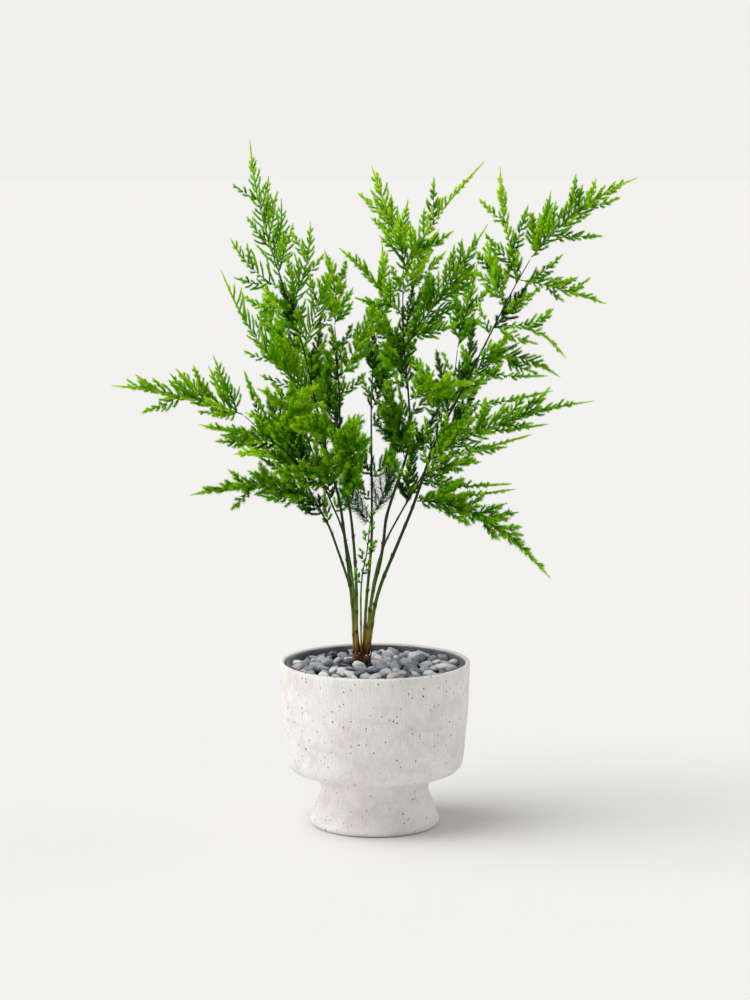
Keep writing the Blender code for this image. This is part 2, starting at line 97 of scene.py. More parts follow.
def add(tree: bpy.types.NodeTree, kind: str, inputs: dict | None = None, **settings) -> bpy.types.Node:
    """Adds one node with its settings and links.

    Args:
        tree: the material's node tree.
        kind: the node's type, without its "ShaderNode" prefix.
        inputs: a value or another node's output socket for each input, by name or number.
        settings: the node's own properties; stops is a colour ramp's list of (place, hex).

    Returns:
        The new node.
    """
    node = tree.nodes.new("ShaderNode" + kind)
    stops = settings.pop("stops", None)
    for name, value in settings.items():
        setattr(node, name, value)
    if stops:
        band = node.color_ramp.elements
        while len(band) < len(stops):
            band.new(0.5)
        for element, (place, code) in zip(band, stops):
            element.position, element.color = place, linear(code)
    for name, value in (inputs or {}).items():
        socket = node.inputs[name]
        if isinstance(value, Socket):
            tree.links.new(value, socket)
        else:
            socket.default_value = value
    return node


def blend(
    tree: bpy.types.NodeTree, share: Socket, under: Socket, over: str | Socket
) -> Socket:
    """Lays one colour over another.

    Args:
        tree: the material's node tree.
        share: how much of the upper colour shows.
        under: the lower colour.
        over: the upper colour, as hex or another node's output.

    Returns:
        The mixed colour.
    """
    upper = linear(over) if isinstance(over, str) else over
    return add(tree, "Mix", {0: share, 6: under, 7: upper}, data_type="RGBA").outputs[2]


def cloud_of(
    tree: bpy.types.NodeTree, place: Socket, scale: float, detail: float, roughness: float = 0.5
) -> Socket:
    """Cloudy values between 0 and 1.

    Args:
        tree: the material's node tree.
        place: where each point is looked up.
        scale: how many clouds there are to a metre, about.
        detail: how many finer layers lie over them.
        roughness: how strong those layers are.

    Returns:
        The values.
    """
    inputs = {"Vector": place, "Scale": scale, "Detail": detail, "Roughness": roughness}
    return add(tree, "TexNoise", inputs).outputs["Fac"]


def remap(
    tree: bpy.types.NodeTree, value: Socket, low: float, high: float, first: float, last: float
) -> Socket:
    """Turns one range of values into another.

    Args:
        tree: the material's node tree.
        value: what is turned.
        low: where its range starts.
        high: where its range ends.
        first: what low becomes.
        last: what high becomes.

    Returns:
        The new value.
    """
    return add(tree, "MapRange", {"Value": value, 1: low, 2: high, 3: first, 4: last}).outputs[0]


def shell_of(name: str) -> BMesh:
    """Joins the loose triangles of a CAD node in a copy.

    Args:
        name: the CAD node.

    Returns:
        A new mesh whose neighbouring faces share their corners.
    """
    bm = bmesh.new()
    bm.from_mesh(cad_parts[name].data)
    bmesh.ops.remove_doubles(bm, verts=bm.verts, dist=SAME_PLACE)
    return bm


def smooth(bm: BMesh) -> None:
    """Shades every face of a mesh smooth."""
    for face in bm.faces:
        face.smooth = True


def levels(start: BMVert) -> list[list[BMVert]]:
    """Sorts a shell's corners by how many edges they are from one of them.

    Args:
        start: the corner to walk from.

    Returns:
        The corners at each distance, the nearest first.
    """
    seen, rows = {start}, [[start]]
    while rows[-1]:
        row = []
        for vert in rows[-1]:
            for edge in vert.link_edges:
                other = edge.other_vert(vert)
                if other not in seen:
                    seen.add(other)
                    row.append(other)
        rows.append(row)
    return rows[:-1]


def loft_rings(bm: BMesh, sides: int) -> list[list[BMVert]]:
    """Finds the rings of a CAD loft that ends in a point at both ends.

    Args:
        bm: the loft's joined shell.
        sides: how many corners each ring has.

    Returns:
        The rings in order, with a single corner first and last.
    """
    for vert in bm.verts:
        rows = levels(vert)
        if len(rows[-1]) == 1 and all(len(row) == sides for row in rows[1:-1]):
            return rows
    raise ValueError("this shell has no pole")


def smooth_route(points: list[Vector], step: float) -> list[Vector]:
    """Draws a smooth curve through some points.

    Args:
        points: what the curve passes through.
        step: the length of one short stretch of the result.

    Returns:
        Points along the curve.
    """
    ends = [points[0] * 2 - points[1], *points, points[-1] * 2 - points[-2]]
    route = [points[0].copy()]
    for a, b, c, d in zip(ends, ends[1:], ends[2:], ends[3:]):
        count = max(1, round((c - b).length / step))
        for k in range(1, count + 1):
            t = k / count
            route.append(
                0.5
                * (2 * b + (c - a) * t + (2 * a - 5 * b + 4 * c - d) * t * t + (3 * b - a - 3 * c + d) * t**3)
            )
    return route


def random_way(rng: random.Random) -> Vector:
    """A vector that points any way."""
    return Vector((rng.gauss(0, 1), rng.gauss(0, 1), rng.gauss(0, 1)))


def turned(axis: Vector, guide: Vector) -> Matrix:
    """A rotation that lays +Z along an axis and keeps +X near a guide.

    Args:
        axis: where +Z goes.
        guide: roughly where +X goes.

    Returns:
        The 4 by 4 rotation.
    """
    z = axis.normalized()
    y = z.cross(guide)
    y = y.normalized() if y.length > 1e-9 else z.orthogonal().normalized()
    x = y.cross(z)
    return Matrix((x, y, z)).transposed().to_4x4()


def tube(bm: BMesh, route: list[Vector], radii: list[float], sides: int) -> None:
    """Draws a round twig along a route, closed in a point at its tip and flat at its foot.

    Args:
        bm: the mesh that receives it.
        route: the points of its middle.
        radii: its radius at each of them.
        sides: how many sides it has.
    """
    guide = Vector((1.0, 0.0, 0.0))
    place, edges, verts = None, None, None
    for i, (point, radius) in enumerate(zip(route, radii)):
        along = route[min(i + 1, len(route) - 1)] - route[max(i - 1, 0)]
        turn = turned(along, guide)
        guide = turn.to_3x3() @ Vector((1.0, 0.0, 0.0))
        new = Matrix.Translation(point) @ turn @ Matrix.Diagonal((radius, radius, radius, 1.0))
        if place is None:
            foot = bmesh.ops.create_circle(bm, cap_ends=True, segments=sides, radius=1.0, matrix=new)
            verts = foot["verts"]
            edges = list({e for v in verts for e in v.link_edges})
        else:
            grown = bmesh.ops.extrude_edge_only(bm, edges=edges)["geom"]
            verts = [g for g in grown if isinstance(g, BMVert)]
            edges = [g for g in grown if isinstance(g, bmesh.types.BMEdge)]
            bmesh.ops.transform(bm, matrix=new @ place.inverted(), verts=verts)
        place = new
    bmesh.ops.pointmerge(bm, verts=verts, merge_co=route[-1])


def as_piece(name: str, source: BMesh | bpy.types.Mesh, finish: "Finish", *nodes: str) -> bpy.types.Object:
    """Makes a finished piece that rides on the root body.

    Args:
        name: the piece's name.
        source: its mesh, already in place; a bmesh is freed.
        finish: what it is dressed in.
        nodes: the CAD nodes that it stands for.

    Returns:
        The new object.
    """
    mesh = source
    if isinstance(source, BMesh):
        mesh = bpy.data.meshes.new(name)
        source.to_mesh(mesh)
        source.free()
    mesh.materials.clear()
    mesh.materials.append(finish.material())
    piece = bpy.data.objects.new(name, mesh)
    bpy.context.scene.collection.objects.link(piece)
    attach(piece, BODY)
    if nodes:
        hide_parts(*nodes)
    log.info("%s: %d faces", name, len(mesh.polygons))
    return piece


# ------------------------------------------------------------------- finishes


@dataclass(frozen=True)
class Finish:
    """A material and how it was made."""

    name: str
    slot: str
    roughness: float
    ior: float = 1.5

    def material(self) -> bpy.types.Material:
        """The finish as a material, made once."""
        found = bpy.data.materials.get(self.name)
        if found:
            return found
        made = bpy.data.materials.new(self.name)
        made.use_nodes = True
        tree = made.node_tree
        shader = tree.nodes["Principled BSDF"]
        shader.inputs["Roughness"].default_value = self.roughness
        shader.inputs["IOR"].default_value = self.ior
        self.pattern(tree, shader)
        return made

    def pattern(self, tree: bpy.types.NodeTree, shader: bpy.types.Node) -> None:
        """Draws the finish's own colours and relief.

        Args:
            tree: the material's node tree.
            shader: its Principled node.
        """
        raise NotImplementedError

    def relief(
        self, tree: bpy.types.NodeTree, shader: bpy.types.Node, height: Socket, depth: float
    ) -> None:
        """Sends a height to the shader's normal.

        Args:
            tree: the material's node tree.
            shader: its Principled node.
            height: the height, from 0 to 1.
            depth: what a height of 1 means, in metres.
        """
        bump = add(tree, "Bump", {"Height": height, "Distance": depth, "Strength": 1.0})
        tree.links.new(bump.outputs["Normal"], shader.inputs["Normal"])


@dataclass(frozen=True)
class Stoneware(Finish):
    """Unglazed white stoneware, thrown and combed: dry, chalky, with drag lines and pin-holes."""

    body: str = "edeae7"
    wash: str = "dcd6d1"
    streak: str = "cbc4bc"
    pit: str = "3a312a"
    comb: float = 0.95 * MM  # from one drag line to the next
    grog: float = 3.5 * MM  # spacing of the small pin-holes
    blow: float = 9 * MM  # spacing of the few large ones
    ragged: float = 0.0012  # how far their rims stray from round

    def pattern(self, tree: bpy.types.NodeTree, shader: bpy.types.Node) -> None:
        """Clouded wash, upright drag lines and dark pin-holes.

        Args:
            tree: the material's node tree.
            shader: its Principled node.
        """
        place = add(tree, "TexCoord").outputs["Object"]
        upright = add(tree, "Mapping", {"Vector": place, "Scale": (1.0, 1.0, 0.055)}).outputs["Vector"]
        level = add(tree, "Mapping", {"Vector": place, "Scale": (0.16, 0.16, 1.0)}).outputs["Vector"]
        cloud = cloud_of(tree, place, 30.0, 9.0, 0.78)
        lines = cloud_of(tree, upright, 1 / self.comb, 3.0, 0.6)
        rings = cloud_of(tree, level, 110.0, 4.0, 0.6)
        clouds = add(
            tree, "ValToRGB", {"Fac": cloud},
            stops=[(0.36, self.wash), (0.54, self.body), (0.75, "f2efec")],
        )
        dragged = remap(tree, lines, 0.34, 0.60, 0.46, 0.0)
        washed = blend(tree, dragged, clouds.outputs["Color"], self.streak)
        ringed = remap(tree, rings, 0.58, 0.72, 0.0, 0.40)
        banded = blend(tree, ringed, washed, self.streak)
        ragged = add(tree, "TexNoise", {"Vector": place, "Scale": 700.0}).outputs["Color"]
        warped = add(tree, "Mix", {0: self.ragged, 4: place, 5: ragged}, data_type="VECTOR")
        masks = []
        for spacing, share, size in ((self.grog, 0.62, 0.25), (self.blow, 0.40, 0.12)):
            cells = add(
                tree, "TexVoronoi", {"Vector": warped.outputs[1], "Scale": 1 / spacing, "Randomness": 1.0}
            )
            chosen = add(tree, "SeparateColor", {"Color": cells.outputs["Color"]})
            reach = remap(tree, chosen.outputs["Red"], 1.0 - share, 1.0, 0.0, size)
            inside = add(tree, "Math", {0: reach, 1: cells.outputs["Distance"]}, operation="SUBTRACT")
            masks.append(
                remap(tree, inside.outputs[0], 0.0, size * 0.35, 0.0, 1.0)
            )
        holes = add(tree, "Math", {0: masks[0], 1: masks[1]}, operation="MAXIMUM")
        pitted = blend(tree, holes.outputs[0], banded, self.pit)
        tree.links.new(pitted, shader.inputs["Base Color"])
        ridges = add(tree, "Math", {0: lines, 1: 0.55, 2: 0.45}, operation="MULTIPLY_ADD")
        sunk = add(tree, "Math", {0: ridges.outputs[0], 1: holes.outputs[0]}, operation="SUBTRACT")
        self.relief(tree, shader, sunk.outputs[0], 0.6 * MM)


@dataclass(frozen=True)
class MouldedPlastic(Finish):
    """Recycled polypropylene, blow-moulded thin: matt, dark, a little dusty."""

    body: str = "4a4d50"
    dust: str = "74777a"

    def pattern(self, tree: bpy.types.NodeTree, shader: bpy.types.Node) -> None:
        """Fine grain with a film of dust.

        Args:
            tree: the material's node tree.
            shader: its Principled node.
        """
        place = add(tree, "TexCoord").outputs["Object"]
        film = cloud_of(tree, place, 60.0, 5.0)
        grain = cloud_of(tree, place, 1400.0, 2.0)
        colour = add(
            tree, "ValToRGB", {"Fac": film}, stops=[(0.42, self.body), (0.78, self.dust)]
        )
        tree.links.new(colour.outputs["Color"], shader.inputs["Base Color"])
        self.relief(tree, shader, grain, 0.04 * MM)


@dataclass(frozen=True)
class Compost(Finish):
    """Peat and bark fines, damp: dark, crumbly, dull."""

    damp: str = "1c130d"
    crumb: str = "4a3423"

    def pattern(self, tree: bpy.types.NodeTree, shader: bpy.types.Node) -> None:
        """Crumbs of 2 to 4 mm, with lighter fibres.

        Args:
            tree: the material's node tree.
            shader: its Principled node.
        """
        place = add(tree, "TexCoord").outputs["Object"]
        crumbs = add(tree, "TexVoronoi", {"Vector": place, "Scale": 320.0})
        fibres = add(tree, "TexNoise", {"Vector": place, "Scale": 700.0, "Detail": 6.0, "Distortion": 1.5})
        colour = add(
            tree, "ValToRGB", {"Fac": fibres.outputs["Fac"]}, stops=[(0.40, self.damp), (0.68, self.crumb)]
        )
        tree.links.new(colour.outputs["Color"], shader.inputs["Base Color"])
        self.relief(tree, shader, crumbs.outputs["Distance"], 2.0 * MM)


@dataclass(frozen=True)
class RiverStone(Finish):
    """Tumbled slate and limestone pebbles: smooth, dry, blue-grey, each its own shade."""

    light: str = "efefed"
    middle: str = "c4c6cb"
    dark: str = "4a4f58"

    def pattern(self, tree: bpy.types.NodeTree, shader: bpy.types.Node) -> None:
        """A shade for each pebble, under fine speckle and a pale bloom.

        Args:
            tree: the material's node tree.
            shader: its Principled node.
        """
        place = add(tree, "TexCoord").outputs["Object"]
        own = add(tree, "Attribute", attribute_name="shade")
        shade = add(
            tree, "ValToRGB", {"Fac": own.outputs["Fac"]},
            stops=[
                (0.0, self.dark), (0.20, "868b95"), (0.45, "a9adb5"), (0.72, self.middle), (0.77, "c4b8aa"),
                (0.82, "dadbdd"), (1.0, self.light),
            ],
        )
        speckle = cloud_of(tree, place, 380.0, 5.0, 0.75)
        bloom = cloud_of(tree, place, 160.0, 4.0)
        pale = remap(tree, bloom, 0.45, 0.72, 0.0, 0.30)
        bloomed = blend(tree, pale, shade.outputs["Color"], "d6d6d5")
        flecks = remap(tree, speckle, 0.60, 0.70, 0.0, 0.5)
        flecked = blend(tree, flecks, bloomed, "4f555c")
        tree.links.new(flecked, shader.inputs["Base Color"])
        self.relief(tree, shader, speckle, 0.9 * MM)


@dataclass(frozen=True)
class CaneSkin(Finish):
    """Living cane skin: waxy green above, drying to ochre and brown sheaths at the foot."""

    foot: float = 0.160  # height of the foot of the canes
    rise: float = 0.075  # how far the dry colours reach up them

    def pattern(self, tree: bpy.types.NodeTree, shader: bpy.types.Node) -> None:
        """Brown, ochre, olive and green by height, with lengthwise streaks and dark flecks.

        Args:
            tree: the material's node tree.
            shader: its Principled node.
        """
        place = add(tree, "TexCoord").outputs["Object"]
        long = add(tree, "Mapping", {"Vector": place, "Scale": (1.0, 1.0, 0.12)}).outputs["Vector"]
        streaks = cloud_of(tree, long, 900.0, 4.0, 0.65)
        patches = cloud_of(tree, place, 85.0, 4.0, 0.7)
        height = add(tree, "SeparateXYZ", {"Vector": place})
        lifted = add(
            tree, "Math", {0: patches, 1: 0.030, 2: height.outputs["Z"]},
            operation="MULTIPLY_ADD",
        )
        climb = remap(tree, lifted.outputs[0], self.foot + 0.010, self.foot + 0.010 + self.rise * 2, 0.0, 1.0)
        bands = add(
            tree, "ValToRGB", {"Fac": climb},
            stops=[
                (0.0, "2c150b"), (0.06, "6b3a16"), (0.11, "b08434"), (0.18, "a3963a"), (0.28, "6f8c22"),
                (0.46, "4a7416"), (0.70, "284a0c"), (1.0, "152c08"),
            ],
        )
        dull = remap(tree, streaks, 0.40, 0.66, 0.0, 0.55)
        streaked = blend(tree, dull, bands.outputs["Color"], "1d2b0c")
        ringed = add(tree, "Attribute", attribute_name="ring")
        jointed = blend(tree, ringed.outputs["Fac"], streaked, "4a2a14")
        tree.links.new(jointed, shader.inputs["Base Color"])
        shader.inputs["Specular IOR Level"].default_value = 0.2
        self.relief(tree, shader, streaks, 0.12 * MM)


@dataclass(frozen=True)
class CorkyBark(Finish):
    """Corky old rootstock: ochre bark torn over dark brown, fibrous and dull."""

    def pattern(self, tree: bpy.types.NodeTree, shader: bpy.types.Node) -> None:
        """Torn bark plates with dark cracks.

        Args:
            tree: the material's node tree.
            shader: its Principled node.
        """
        place = add(tree, "TexCoord").outputs["Object"]
        long = add(tree, "Mapping", {"Vector": place, "Scale": (1.0, 1.0, 0.25)}).outputs["Vector"]
        fibres = cloud_of(tree, long, 420.0, 6.0, 0.7)
        colour = add(
            tree, "ValToRGB", {"Fac": fibres},
            stops=[(0.36, "1d0e07"), (0.50, "4f2a14"), (0.60, "8c5a26"), (0.74, "b98b45")],
        )
        tree.links.new(colour.outputs["Color"], shader.inputs["Base Color"])
        self.relief(tree, shader, fibres, 0.8 * MM)


@dataclass(frozen=True)
class NeedleSkin(Finish):
    """Soft living needles with a thin wax: young and light at their tips, deep green where they are old; the
    dark feet are partly age and partly painted shade of the canopy's inside.
    """

    old: str = "154202"
    grown: str = "469404"
    young: str = "94d80a"
    tip: str = "ccf030"
    twig: str = "1c330a"

    def pattern(self, tree: bpy.types.NodeTree, shader: bpy.types.Node) -> None:
        """Old to young up the map, one tint for each tuft across it, twigs in its first tenth.

        Args:
            tree: the material's node tree.
            shader: its Principled node.
        """
        spot = add(tree, "UVMap", uv_map=UV)
        parts = add(tree, "SeparateXYZ", {"Vector": spot.outputs["UV"]})
        tint = cloud_of(tree, spot.outputs["UV"], 9.0, 3.0, 0.6)
        swing = remap(tree, tint, 0.3, 0.7, -0.20, 0.20)
        age = add(tree, "Math", {0: parts.outputs["Y"], 1: swing}, operation="ADD")
        green = add(
            tree, "ValToRGB", {"Fac": age.outputs[0]},
            stops=[(0.05, self.old), (0.40, self.grown), (0.72, self.young), (0.98, self.tip)],
        )
        wood = add(tree, "ValToRGB", {"Fac": parts.outputs["Y"]}, stops=[(0.0, self.twig), (1.0, self.grown)])
        woody = add(tree, "Math", {0: parts.outputs["X"], 1: 0.11}, operation="LESS_THAN")
        both = blend(tree, woody.outputs[0], green.outputs["Color"], wood.outputs["Color"])
        tree.links.new(both, shader.inputs["Base Color"])
        shader.inputs["Specular IOR Level"].default_value = 0.05


@dataclass(frozen=True)
class SeamlessPaper(Finish):
    """Matt studio paper: pale, even, without gloss."""

    shade: tuple[float, float, float, float] = (0.8, 0.8, 0.8, 1.0)

    def pattern(self, tree: bpy.types.NodeTree, shader: bpy.types.Node) -> None:
        """Paper tooth, far too fine to see as more than mattness.

        Args:
            tree: the material's node tree.
            shader: its Principled node.
        """
        shader.inputs["Base Color"].default_value = self.shade
        shader.inputs["Specular IOR Level"].default_value = 0.0


STONEWARE = Stoneware("combed_white_stoneware", "stoneware", 0.88, 1.55)
NURSERY_PLASTIC = MouldedPlastic("moulded_recycled_polypropylene", "nursery_plastic", 0.55, 1.49)
PEAT = Compost("damp_peat_compost", "compost", 0.95, 1.4)
PEBBLES = RiverStone("tumbled_river_pebbles", "pebbles", 0.62, 1.54)
BARK = CorkyBark("corky_rootstock_bark", "woody_crown", 0.85, 1.45)
CANE = CaneSkin("waxy_cane_skin", "stem", 0.48, 1.45)


def needles(name: str, *colours: str) -> NeedleSkin:
    """A needle finish by its name and its colours: old, grown, young, tip and twig."""
    return NeedleSkin(name, "foliage", 0.50, 1.43, *colours)


# Lit and shaded copies of one needle finish, painted light and painted shade: yellow-green where light gets
# in and blue-black green where it doesn't give the eye the plant's depth.
FRESH = needles("fresh_needles")
BRIGHT = needles("painted_light_bright_needles", "2c6c02", "68b804", "aae20e", "d6f640", "2c4a0c")
SUNLIT = needles("sunlit_young_needles", "448802", "88ce06", "bcec1a", "e0fa5c", "3a5a10")
DEEP = needles("painted_shade_deep_needles", "0d3401", "307204", "6aaa0a", "a8d624", "162b08")
SHADED = needles("shaded_inner_needles", "082601", "1e5203", "417806", "6ba012", "162b08")
# Bluish dark greens, for the two dark feathery fronds.
BLUISH = needles("bluish_dark_needles", "10380c", "24601c", "468830", "74aa4a", "183010")


# ------------------------------------------------------------------ pot parts


@dataclass
class FootedPot:
    """The thrown outer pot, spun from the CAD pot's own outline."""

    steps: int = 180
    pitch: float = 2.5 * MM  # of the points along the outline
    wobble: float = 0.35 * MM  # how far the hand-thrown wall wanders
    combing: float = 0.10 * MM
    sway: float = 22.0  # how quickly the wandering changes, for each metre
    drag: tuple[float, float, float] = (520, 520, 30)  # the same for the combing, which is long upright
    foot_top: float = 6 * MM  # below this the foot stays nearly true
    rim_dips: tuple[float, float] = (100 * MM, 150 * MM)  # height where dips start, and where they are full
    node: str = "footed_pot"

    def outline(self) -> list[Vector]:
        """The CAD pot's outline in the plane of +X, from under the foot over the rim to the inner floor."""
        shell = shell_of(self.node)
        cut = {v for v in shell.verts if abs(v.co.y) < 10 * SAME_PLACE and v.co.x > 0}
        ends = [v for v in cut if sum(e.other_vert(v) in cut for e in v.link_edges) == 1]
        here, past = min(ends, key=lambda v: v.co.z), None
        corners = [Vector((0, 0, here.co.z))]
        while here:
            corners.append(here.co.copy())
            onward = [e.other_vert(here) for e in here.link_edges if e.other_vert(here) in cut]
            here, past = next((v for v in onward if v is not past), None), here
        corners.append(Vector((0, 0, corners[-1].z)))
        shell.free()
        points = []
        for a, b in zip(corners, corners[1:]):
            count = max(1, round((b - a).length / self.pitch))
            points += [a.lerp(b, k / count) for k in range(count)]
        points.append(corners[-1])
        eased = [p.lerp((a + b) / 2, 0.5) for a, p, b in zip(points, points[1:], points[2:])]
        return [points[0], *eased, points[-1]]

    def build(self) -> None:
        """Spins the outline, lets the wall wander a little and dresses it."""
        bm = bmesh.new()
        verts = [bm.verts.new(p) for p in self.outline()]
        edges = [bm.edges.new(pair) for pair in zip(verts, verts[1:])]
        bmesh.ops.spin(
            bm, geom=verts + edges, cent=(0, 0, 0), axis=(0, 0, 1), angle=math.tau, steps=self.steps,
            use_merge=True, use_duplicate=False,
        )
        bmesh.ops.remove_doubles(bm, verts=bm.verts, dist=SAME_PLACE)
        bmesh.ops.recalc_face_normals(bm, faces=bm.faces)
        for vert in bm.verts:
            out = vert.co.xy.length
            if out < SAME_PLACE:
                continue
            slow = noise.noise(vert.co * self.sway) * self.wobble
            combed = noise.noise(Vector(a * b for a, b in zip(vert.co, self.drag))) * self.combing
            standing = min(1.0, vert.co.z / self.foot_top)
            push = (slow + combed) * standing
            vert.co.xy *= 1 + push / out
            start, full = self.rim_dips
            dipping = min(1.0, max(0.0, (vert.co.z - start) / (full - start)))
            vert.co.z += 0.5 * slow * standing * dipping
        smooth(bm)
        as_piece("footed_pot_thrown", bm, STONEWARE, self.node)


@dataclass
class Filling:
    """The grower pot, the compost and the pebbles on it."""

    spread: float = 78.3 * MM
    spacing: float = 10.6 * MM  # between the middles of two pebbles in a layer
    # Height of each layer above the bed's bottom, and its brightest shade: the lower layer is kept dark as
    # painted shade in the gaps between the top pebbles.
    layers: tuple[tuple[float, float], ...] = ((0.0048, 0.25), (0.0100, 1.0))
    mound: float = 1.6 * MM
    sizes: tuple[float, float] = (10.0 * MM, 18.5 * MM)
    tries: int = 9000  # darts thrown to fill one layer
    crown: float = 9.5 * MM  # kept free round the rootstock's middle
    tilt: float = 0.30  # of a pebble, in radians
    facets: int = 9  # worn flats on each
    seed: int = 11

    def spots(self, rng: random.Random, spacing: float) -> list[Vector]:
        """Scatters points over the pot's mouth, none too near another.

        Args:
            rng: where the scatter comes from.
            spacing: the least distance between two points.

        Returns:
            The points, at height 0.
        """
        found: list[Vector] = []
        for _ in range(self.tries):
            away, turn = self.spread * math.sqrt(rng.random()), rng.uniform(0, math.tau)
            spot = Vector((away * math.cos(turn), away * math.sin(turn), 0))
            if all((spot - other).length > spacing for other in found):
                found.append(spot)
        return found

    def pebble(
        self, bm: BMesh, rng: random.Random, at: Vector, shade: bmesh.types.BMLayerItem, bright: float
    ) -> None:
        """Lays one tumbled pebble.

        Args:
            bm: the mesh that receives it.
            rng: where its shape comes from.
            at: its middle.
            shade: the layer that holds each pebble's own shade.
            bright: the brightest shade that it may have, from 0 to 1.
        """
        long = rng.uniform(*self.sizes) / 2
        size = Vector((long, long * rng.uniform(0.62, 0.92), long * rng.uniform(0.38, 0.60)))
        lie = Euler((rng.gauss(0, self.tilt), rng.gauss(0, self.tilt), rng.uniform(0, math.tau)))
        verts = bmesh.ops.create_icosphere(bm, subdivisions=2, radius=1.0)["verts"]
        own, offset = bright * rng.random(), Vector((rng.uniform(0, 99), rng.uniform(0, 99), 0))
        ways = (random_way(rng).normalized() for _ in range(self.facets))
        worn = [(way, rng.uniform(0.58, 0.86)) for way in ways]
        for vert in verts:
            dent = 1 + 0.34 * noise.noise(vert.co * 1.1 + offset) + 0.08 * noise.noise(vert.co * 3 + offset)
            for way, reach in worn:
                vert.co -= way * 0.9 * max(0.0, vert.co.dot(way) - reach)
            vert.co = Vector(a * b for a, b in zip(vert.co * dent, size))
            vert[shade] = own
        bmesh.ops.transform(bm, matrix=Matrix.Translation(at) @ lie.to_matrix().to_4x4(), verts=verts)

    def build(self) -> None:
        """Dresses the grower pot and the compost, and lays the pebbles."""
        for node, finish in (("grower_pot", NURSERY_PLASTIC), ("soil", PEAT)):
            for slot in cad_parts[node].material_slots:
                slot.material = finish.material()
        low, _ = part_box("pebble_bed")
        crown_low, crown_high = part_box("rootstock")
        crown = (crown_low + crown_high) / 2
        rng = random.Random(self.seed)
        bed = bmesh.new()
        for height, bright in self.layers:
            layer = bmesh.new()
            shade = layer.verts.layers.float.new("shade")
            for spot in self.spots(rng, self.spacing):
                if (spot.xy - crown.xy).length < self.crown:
                    continue
                rise = self.mound * (1 - spot.length / self.spread) + rng.uniform(-1.1, 1.3) * MM
                self.pebble(layer, rng, Vector((spot.x, spot.y, low.z + height + rise)), shade, bright)
            part = bpy.data.meshes.new("layer")
            layer.to_mesh(part)
            layer.free()
            bed.from_mesh(part)
            bpy.data.meshes.remove(part)
        smooth(bed)
        as_piece("river_pebbles", bed, PEBBLES, "pebble_bed")


# ---------------------------------------------------------------------- canes


@dataclass
class Cane:
    """One upright stem, drawn along the middle of its CAD stem."""

    node: str
    seed: int
    sides: int = 10
    step: float = 3 * MM
    joint: tuple[float, float] = (17 * MM, 34 * MM)  # from one node ring to the next
    route: list[Vector] = field(default_factory=list)
    radii: list[float] = field(default_factory=list)

    def __post_init__(self) -> None:
        """Reads the stem's middle and its thickness from the frame."""
        shell = shell_of(self.node)
        rings = loft_rings(shell, 6)
        if rings[0][0].co.z > rings[-1][0].co.z:
            rings.reverse()
        middles = [sum((v.co for v in ring), Vector()) / len(ring) for ring in rings]
        widths = [max((v.co - m).length for v in ring) for ring, m in zip(rings, middles)]
        widths[0], widths[-1] = widths[1], widths[-2] * 0.7
        shell.free()
        self.route = smooth_route(middles, self.step)
        lengths = np.cumsum([0.0] + [(b - a).length for a, b in zip(middles, middles[1:])])
        spots = np.linspace(0, lengths[-1], len(self.route))
        self.radii = [float(r) for r in np.interp(spots, lengths, widths)]

    def gap(self, point: Vector) -> float:
        """How far a point is from the cane's skin."""
        return min((point - p).length - r for p, r in zip(self.route, self.radii))

    def build(self) -> None:
        """Draws the cane with its node rings and the dry scale at each."""
        rng = random.Random(self.seed)
        rings, along = [], rng.uniform(*self.joint)
        total = self.step * len(self.route)
        while along < total * 0.85:
            rings.append(along)
            along += rng.uniform(*self.joint)
        radii, marks = [], []
        for i, radius in enumerate(self.radii):
            near = min((abs(i * self.step - r) for r in rings), default=1.0)
            swell = math.exp(-((near / (1.6 * MM)) ** 2))
            slim = 0.95 - 0.30 * i / len(self.radii)
            radii.append(radius * (slim + 0.20 * swell + 0.04 * rng.random()))
            marks.append(swell)
        bm = bmesh.new()
        tube(bm, self.route, radii, self.sides)
        ring = bm.verts.layers.float.new("ring")
        route = np.array([p[:] for p in self.route])
        for vert in bm.verts:
            vert[ring] = marks[int(((route - np.array(vert.co)) ** 2).sum(1).argmin())] * 0.8
        for r in rings:
            i = min(len(self.route) - 2, round(r / self.step))
            up = (self.route[i + 1] - self.route[i - 1]).normalized()
            side = up.orthogonal().normalized()
            side.rotate(Matrix.Rotation(rng.uniform(0, math.tau), 3, up))
            lean = (up + side * 0.42).normalized()
            long = radii[i] * 1.5 + 1.4 * MM
            scale = bmesh.ops.create_cone(
                bm, cap_ends=True, cap_tris=False, segments=5, radius1=0.55, radius2=0.0, depth=1.0,
                matrix=Matrix.Translation(self.route[i] + side * radii[i] * 0.75 + lean * long / 2)
                @ turned(lean, side)
                @ Matrix.Diagonal((radii[i] * 0.5, radii[i] * 1.2, long, 1)),
            )["verts"]
            for vert in scale:
                vert[ring] = 1.0
        smooth(bm)
        as_piece(self.node + "_cane", bm, CANE, self.node)


